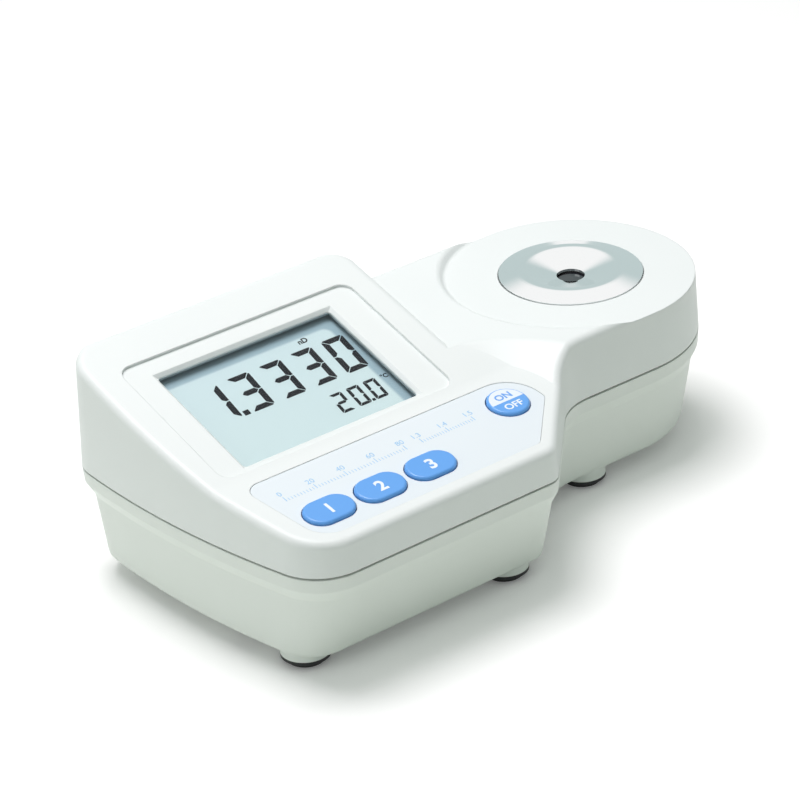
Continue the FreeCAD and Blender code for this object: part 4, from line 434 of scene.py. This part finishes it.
def segment(letter, half_width, half_height, stroke):
    """Outline of one segment round the digit's middle, with mitred ends and clipped corners."""
    gap = 0.09 * stroke
    clip = 0.3 * stroke
    w, h = half_width, half_height
    if letter == "g":
        reach, half = w - stroke / 2 - gap, stroke / 2
        inner = reach - half
        return [(-reach, 0), (-inner, -half), (inner, -half), (reach, 0), (inner, half), (-inner, half)]
    across, side_x, side_y = SEGMENT_SIDES[letter]
    if across:
        near, far = w - clip - gap, w - stroke - gap
        bevel = w - clip / 2 - gap
        points = [(near, h), (-near, h), (-bevel, h - clip / 2), (-far, h - stroke), (far, h - stroke),
                  (bevel, h - clip / 2)]
    else:
        points = [(w, gap), (w, h - clip - gap), (w - clip / 2, h - clip / 2 - gap),
                  (w - stroke, h - stroke - gap), (w - stroke, stroke / 2 + gap), (w - stroke / 2, gap)]
    return [(x * side_x, y * side_y) for x, y in points]


def write_digits(page, text, left, base, width, height, pitch, stroke):
    """Seven-segment digits; a point goes between two digits and takes no room of its own."""
    middle_y = base + height / 2

    def place(points, x, y):
        page.outline([(x + px + SLANT * (y + py - base), y + py) for px, py in points])

    column = 0
    for char in text:
        if char == ".":
            half = stroke * 0.5
            square = [(-half, -half), (half, -half), (half, half), (-half, half)]
            place(square, left + column * pitch - (pitch - width) / 2, base + half)
            continue
        for letter in SEGMENTS[char]:
            place(segment(letter, width / 2, height / 2, stroke), left + column * pitch + width / 2, middle_y)
        column += 1


lcd_page = Print(lcd_face, 0.01 * MM)
write_digits(lcd_page, "1.3330", left=7.3 * MM, base=20.2 * MM, width=7.4 * MM, height=14.7 * MM,
             pitch=10.8 * MM, stroke=1.9 * MM)
write_digits(lcd_page, "20.0", left=39.4 * MM, base=7.5 * MM, width=4.1 * MM, height=7.9 * MM,
             pitch=5.8 * MM, stroke=1.0 * MM)
lcd_page.type("nD", 47.5 * MM, 38.0 * MM, 1.9 * MM, weight=0.08 * MM, slant=SLANT)
lcd_page.type("°C", 58.6 * MM, 14.6 * MM, 1.6 * MM, weight=0.06 * MM, slant=SLANT)
lcd_page.build("lcd_digits", "black", "housing")

for mark, key in enumerate(("key_left", "key_middle", "key_right"), start=1):
    page = Print(sheet_face, KEY_TOP)
    page.type(str(mark), middle(key, 0) - sheet_face.left, KEY_ROW, 4.2 * MM, weight=0.16 * MM)
    page.build(key + "_numeral", "white", key)
power_x = middle("key_power", 0) - sheet_face.left
for word, shift, color in (("ON", 2.35 * MM, "blue"), ("OFF", -2.35 * MM, "white")):
    page = Print(sheet_face, KEY_TOP)
    page.type(word, power_x, POWER_ROW + shift, 2.5 * MM, weight=0.08 * MM)
    page.build("power_%s_mark" % word.lower(), color, "key_power")


def print_scale(page, left, base, length, numbers, steps=10):
    """Printed rule with a number over each long tick and steps from one to the next."""
    count = (len(numbers) - 1) * steps
    for i in range(count + 1):
        x = left + length * i / count
        long = i % steps == 0
        half, high = (0.11 * MM, 2.0 * MM) if long else (0.08 * MM, 1.1 * MM)
        page.outline([(x - half, base), (x + half, base), (x + half, base + high), (x - half, base + high)])
        if long:
            page.type(numbers[i // steps], x, base + 3.6 * MM, 1.9 * MM)


scale_page = Print(sheet_face)
print_scale(scale_page, left=6 * MM, base=18.2 * MM, length=40 * MM, numbers=["0", "20", "40", "60", "80"])
print_scale(scale_page, left=51.5 * MM, base=18.2 * MM, length=18 * MM, numbers=["1.3", "1.4", "1.5"])
scale_page.build("sheet_scales", "pale_blue", "housing")


# Studio
def area(name, place, target, size, power, color=(1, 1, 1)):
    light = bpy.data.lights.new(name, "AREA")
    light.shape = "RECTANGLE"
    light.size, light.size_y = size
    light.energy = power
    light.color = color
    obj = bpy.data.objects.new(name, light)
    bpy.context.collection.objects.link(obj)
    obj.location = place
    direction = Vector(target) - Vector(place)
    obj.rotation_euler = direction.to_track_quat("-Z", "Y").to_euler()
    return obj


OBJECT_MIDDLE = (0, 0, 0.03)
area("top_light", (-0.06, 0.19, 0.9), OBJECT_MIDDLE, (0.45, 0.45), 6.3, (1.0, 0.965, 0.985))
area("left_light", (-0.9, 0.1, 0.35), OBJECT_MIDDLE, (0.7, 0.5), 0.9)

# Ambient light at the horizon and overhead
AMBIENT_LOW = 0.20
AMBIENT_HIGH = 0.50
AMBIENT_TINT = (0.93, 1.0, 0.95)
# What polished metal sees of the studio, low and high over the floor
LOW_SKY = (0.55, 0.65, 0.65)
SKY_EDGE = 0.58
SKY_SOFTNESS = 0.2
FLOOR_COLOR = (0.98, 0.98, 0.98)
FLOOR_BOUNCE = (0.88, 0.92, 0.86)
FLOOR_LIFT = 0.10
# The floor turns plain white away from the object's shadow
FADE_AT = 0.5
FADE_SOFTNESS = 0.35
world = bpy.data.worlds.new("studio")
bpy.context.scene.world = world
world.use_nodes = True
sky = Shader.of_world(world)
rays = sky.node("LightPath").outputs
height = sky.node("SeparateXYZ", sky.node("TexCoord").outputs["Generated"]).outputs[2]
reflected = sky.blend(sky.step(height, SKY_EDGE, SKY_SOFTNESS), LOW_SKY, (1.0, 1.0, 1.0))
fade = sky.node("MapRange", height, To_Min=AMBIENT_LOW, To_Max=AMBIENT_HIGH)
ambient = sky.node("Background", Color=(*AMBIENT_TINT, 1))
sky.feed(ambient.inputs["Strength"], fade.outputs[0])
mirrored = sky.node("Background", reflected, Strength=1.0)
white = sky.node("Background", Color=(1, 1, 1, 1), Strength=1.0)
for_metal = sky.node("MixShader", rays["Is Glossy Ray"], ambient.outputs[0], mirrored.outputs[0])
seen = sky.math("MAXIMUM", rays["Is Camera Ray"], rays["Is Transmission Ray"])
whole = sky.node("MixShader", seen, for_metal.outputs[0], white.outputs[0])
sky.feed(sky.out.inputs["Surface"], whole.outputs[0])

floor_mesh = bpy.data.meshes.new("floor")
FLOOR_REACH = 3.0
corners = ((-1, -1), (1, -1), (1, 1), (-1, 1))
floor_mesh.from_pydata([(x * FLOOR_REACH, y * FLOOR_REACH, 0) for x, y in corners],
                       [], [(0, 1, 2, 3)])
floor = bpy.data.objects.new("floor", floor_mesh)
bpy.context.collection.objects.link(floor)
floor_shader = Shader("floor_pale")
rays = floor_shader.node("LightPath").outputs
seen_floor = floor_shader.math("MAXIMUM", rays["Is Camera Ray"], rays["Is Glossy Ray"])
bounce = floor_shader.node("BsdfDiffuse", Color=(*FLOOR_BOUNCE, 1))
face = floor_shader.node("BsdfDiffuse", Color=(*FLOOR_COLOR, 1))
glow = floor_shader.node("Emission", Strength=FLOOR_LIFT)
lifted = floor_shader.node("AddShader", face.outputs[0], glow.outputs[0])
distance = floor_shader.node("VectorMath", floor_shader.position(), operation="LENGTH").outputs["Value"]
white = floor_shader.node("Emission", Strength=1.0)
faded = floor_shader.node("MixShader", floor_shader.step(distance, FADE_AT, FADE_SOFTNESS),
                          lifted.outputs[0], white.outputs[0])
both = floor_shader.node("MixShader", seen_floor, bounce.outputs[0], faded.outputs[0])
# Seen from below, the floor is clear and shows the underside
from_below = floor_shader.math("MULTIPLY", rays["Is Camera Ray"],
                               floor_shader.node("NewGeometry").outputs["Backfacing"])
clear = floor_shader.node("BsdfTransparent")
whole = floor_shader.node("MixShader", from_below, both.outputs[0], clear.outputs[0])
floor_shader.feed(floor_shader.out.inputs["Surface"], whole.outputs[0])
floor.data.materials.append(floor_shader.material)

# Camera at the photograph's viewing angle
PHOTO_WIDTH = 800
FOCAL_PIXELS = 3071.0
SENSOR = 36.0
CAMERA_PLACE = Vector((-464.13, -604.76, 449.62)) * MM
CAMERA_RIGHT = Vector((0.78590, -0.61614, -0.05231))
CAMERA_UP = Vector((0.32977, 0.34606, 0.87835))
lens = bpy.data.cameras.new("camera")
lens.sensor_width = SENSOR
lens.sensor_fit = "HORIZONTAL"
lens.lens = FOCAL_PIXELS / PHOTO_WIDTH * SENSOR
camera = bpy.data.objects.new("camera", lens)
bpy.context.collection.objects.link(camera)
back = CAMERA_RIGHT.cross(CAMERA_UP)
turn = Matrix((CAMERA_RIGHT, CAMERA_UP, back)).transposed().to_4x4()
camera.matrix_world = Matrix.Translation(CAMERA_PLACE) @ turn
bpy.context.scene.camera = camera
bpy.context.scene.view_settings.view_transform = "Standard"
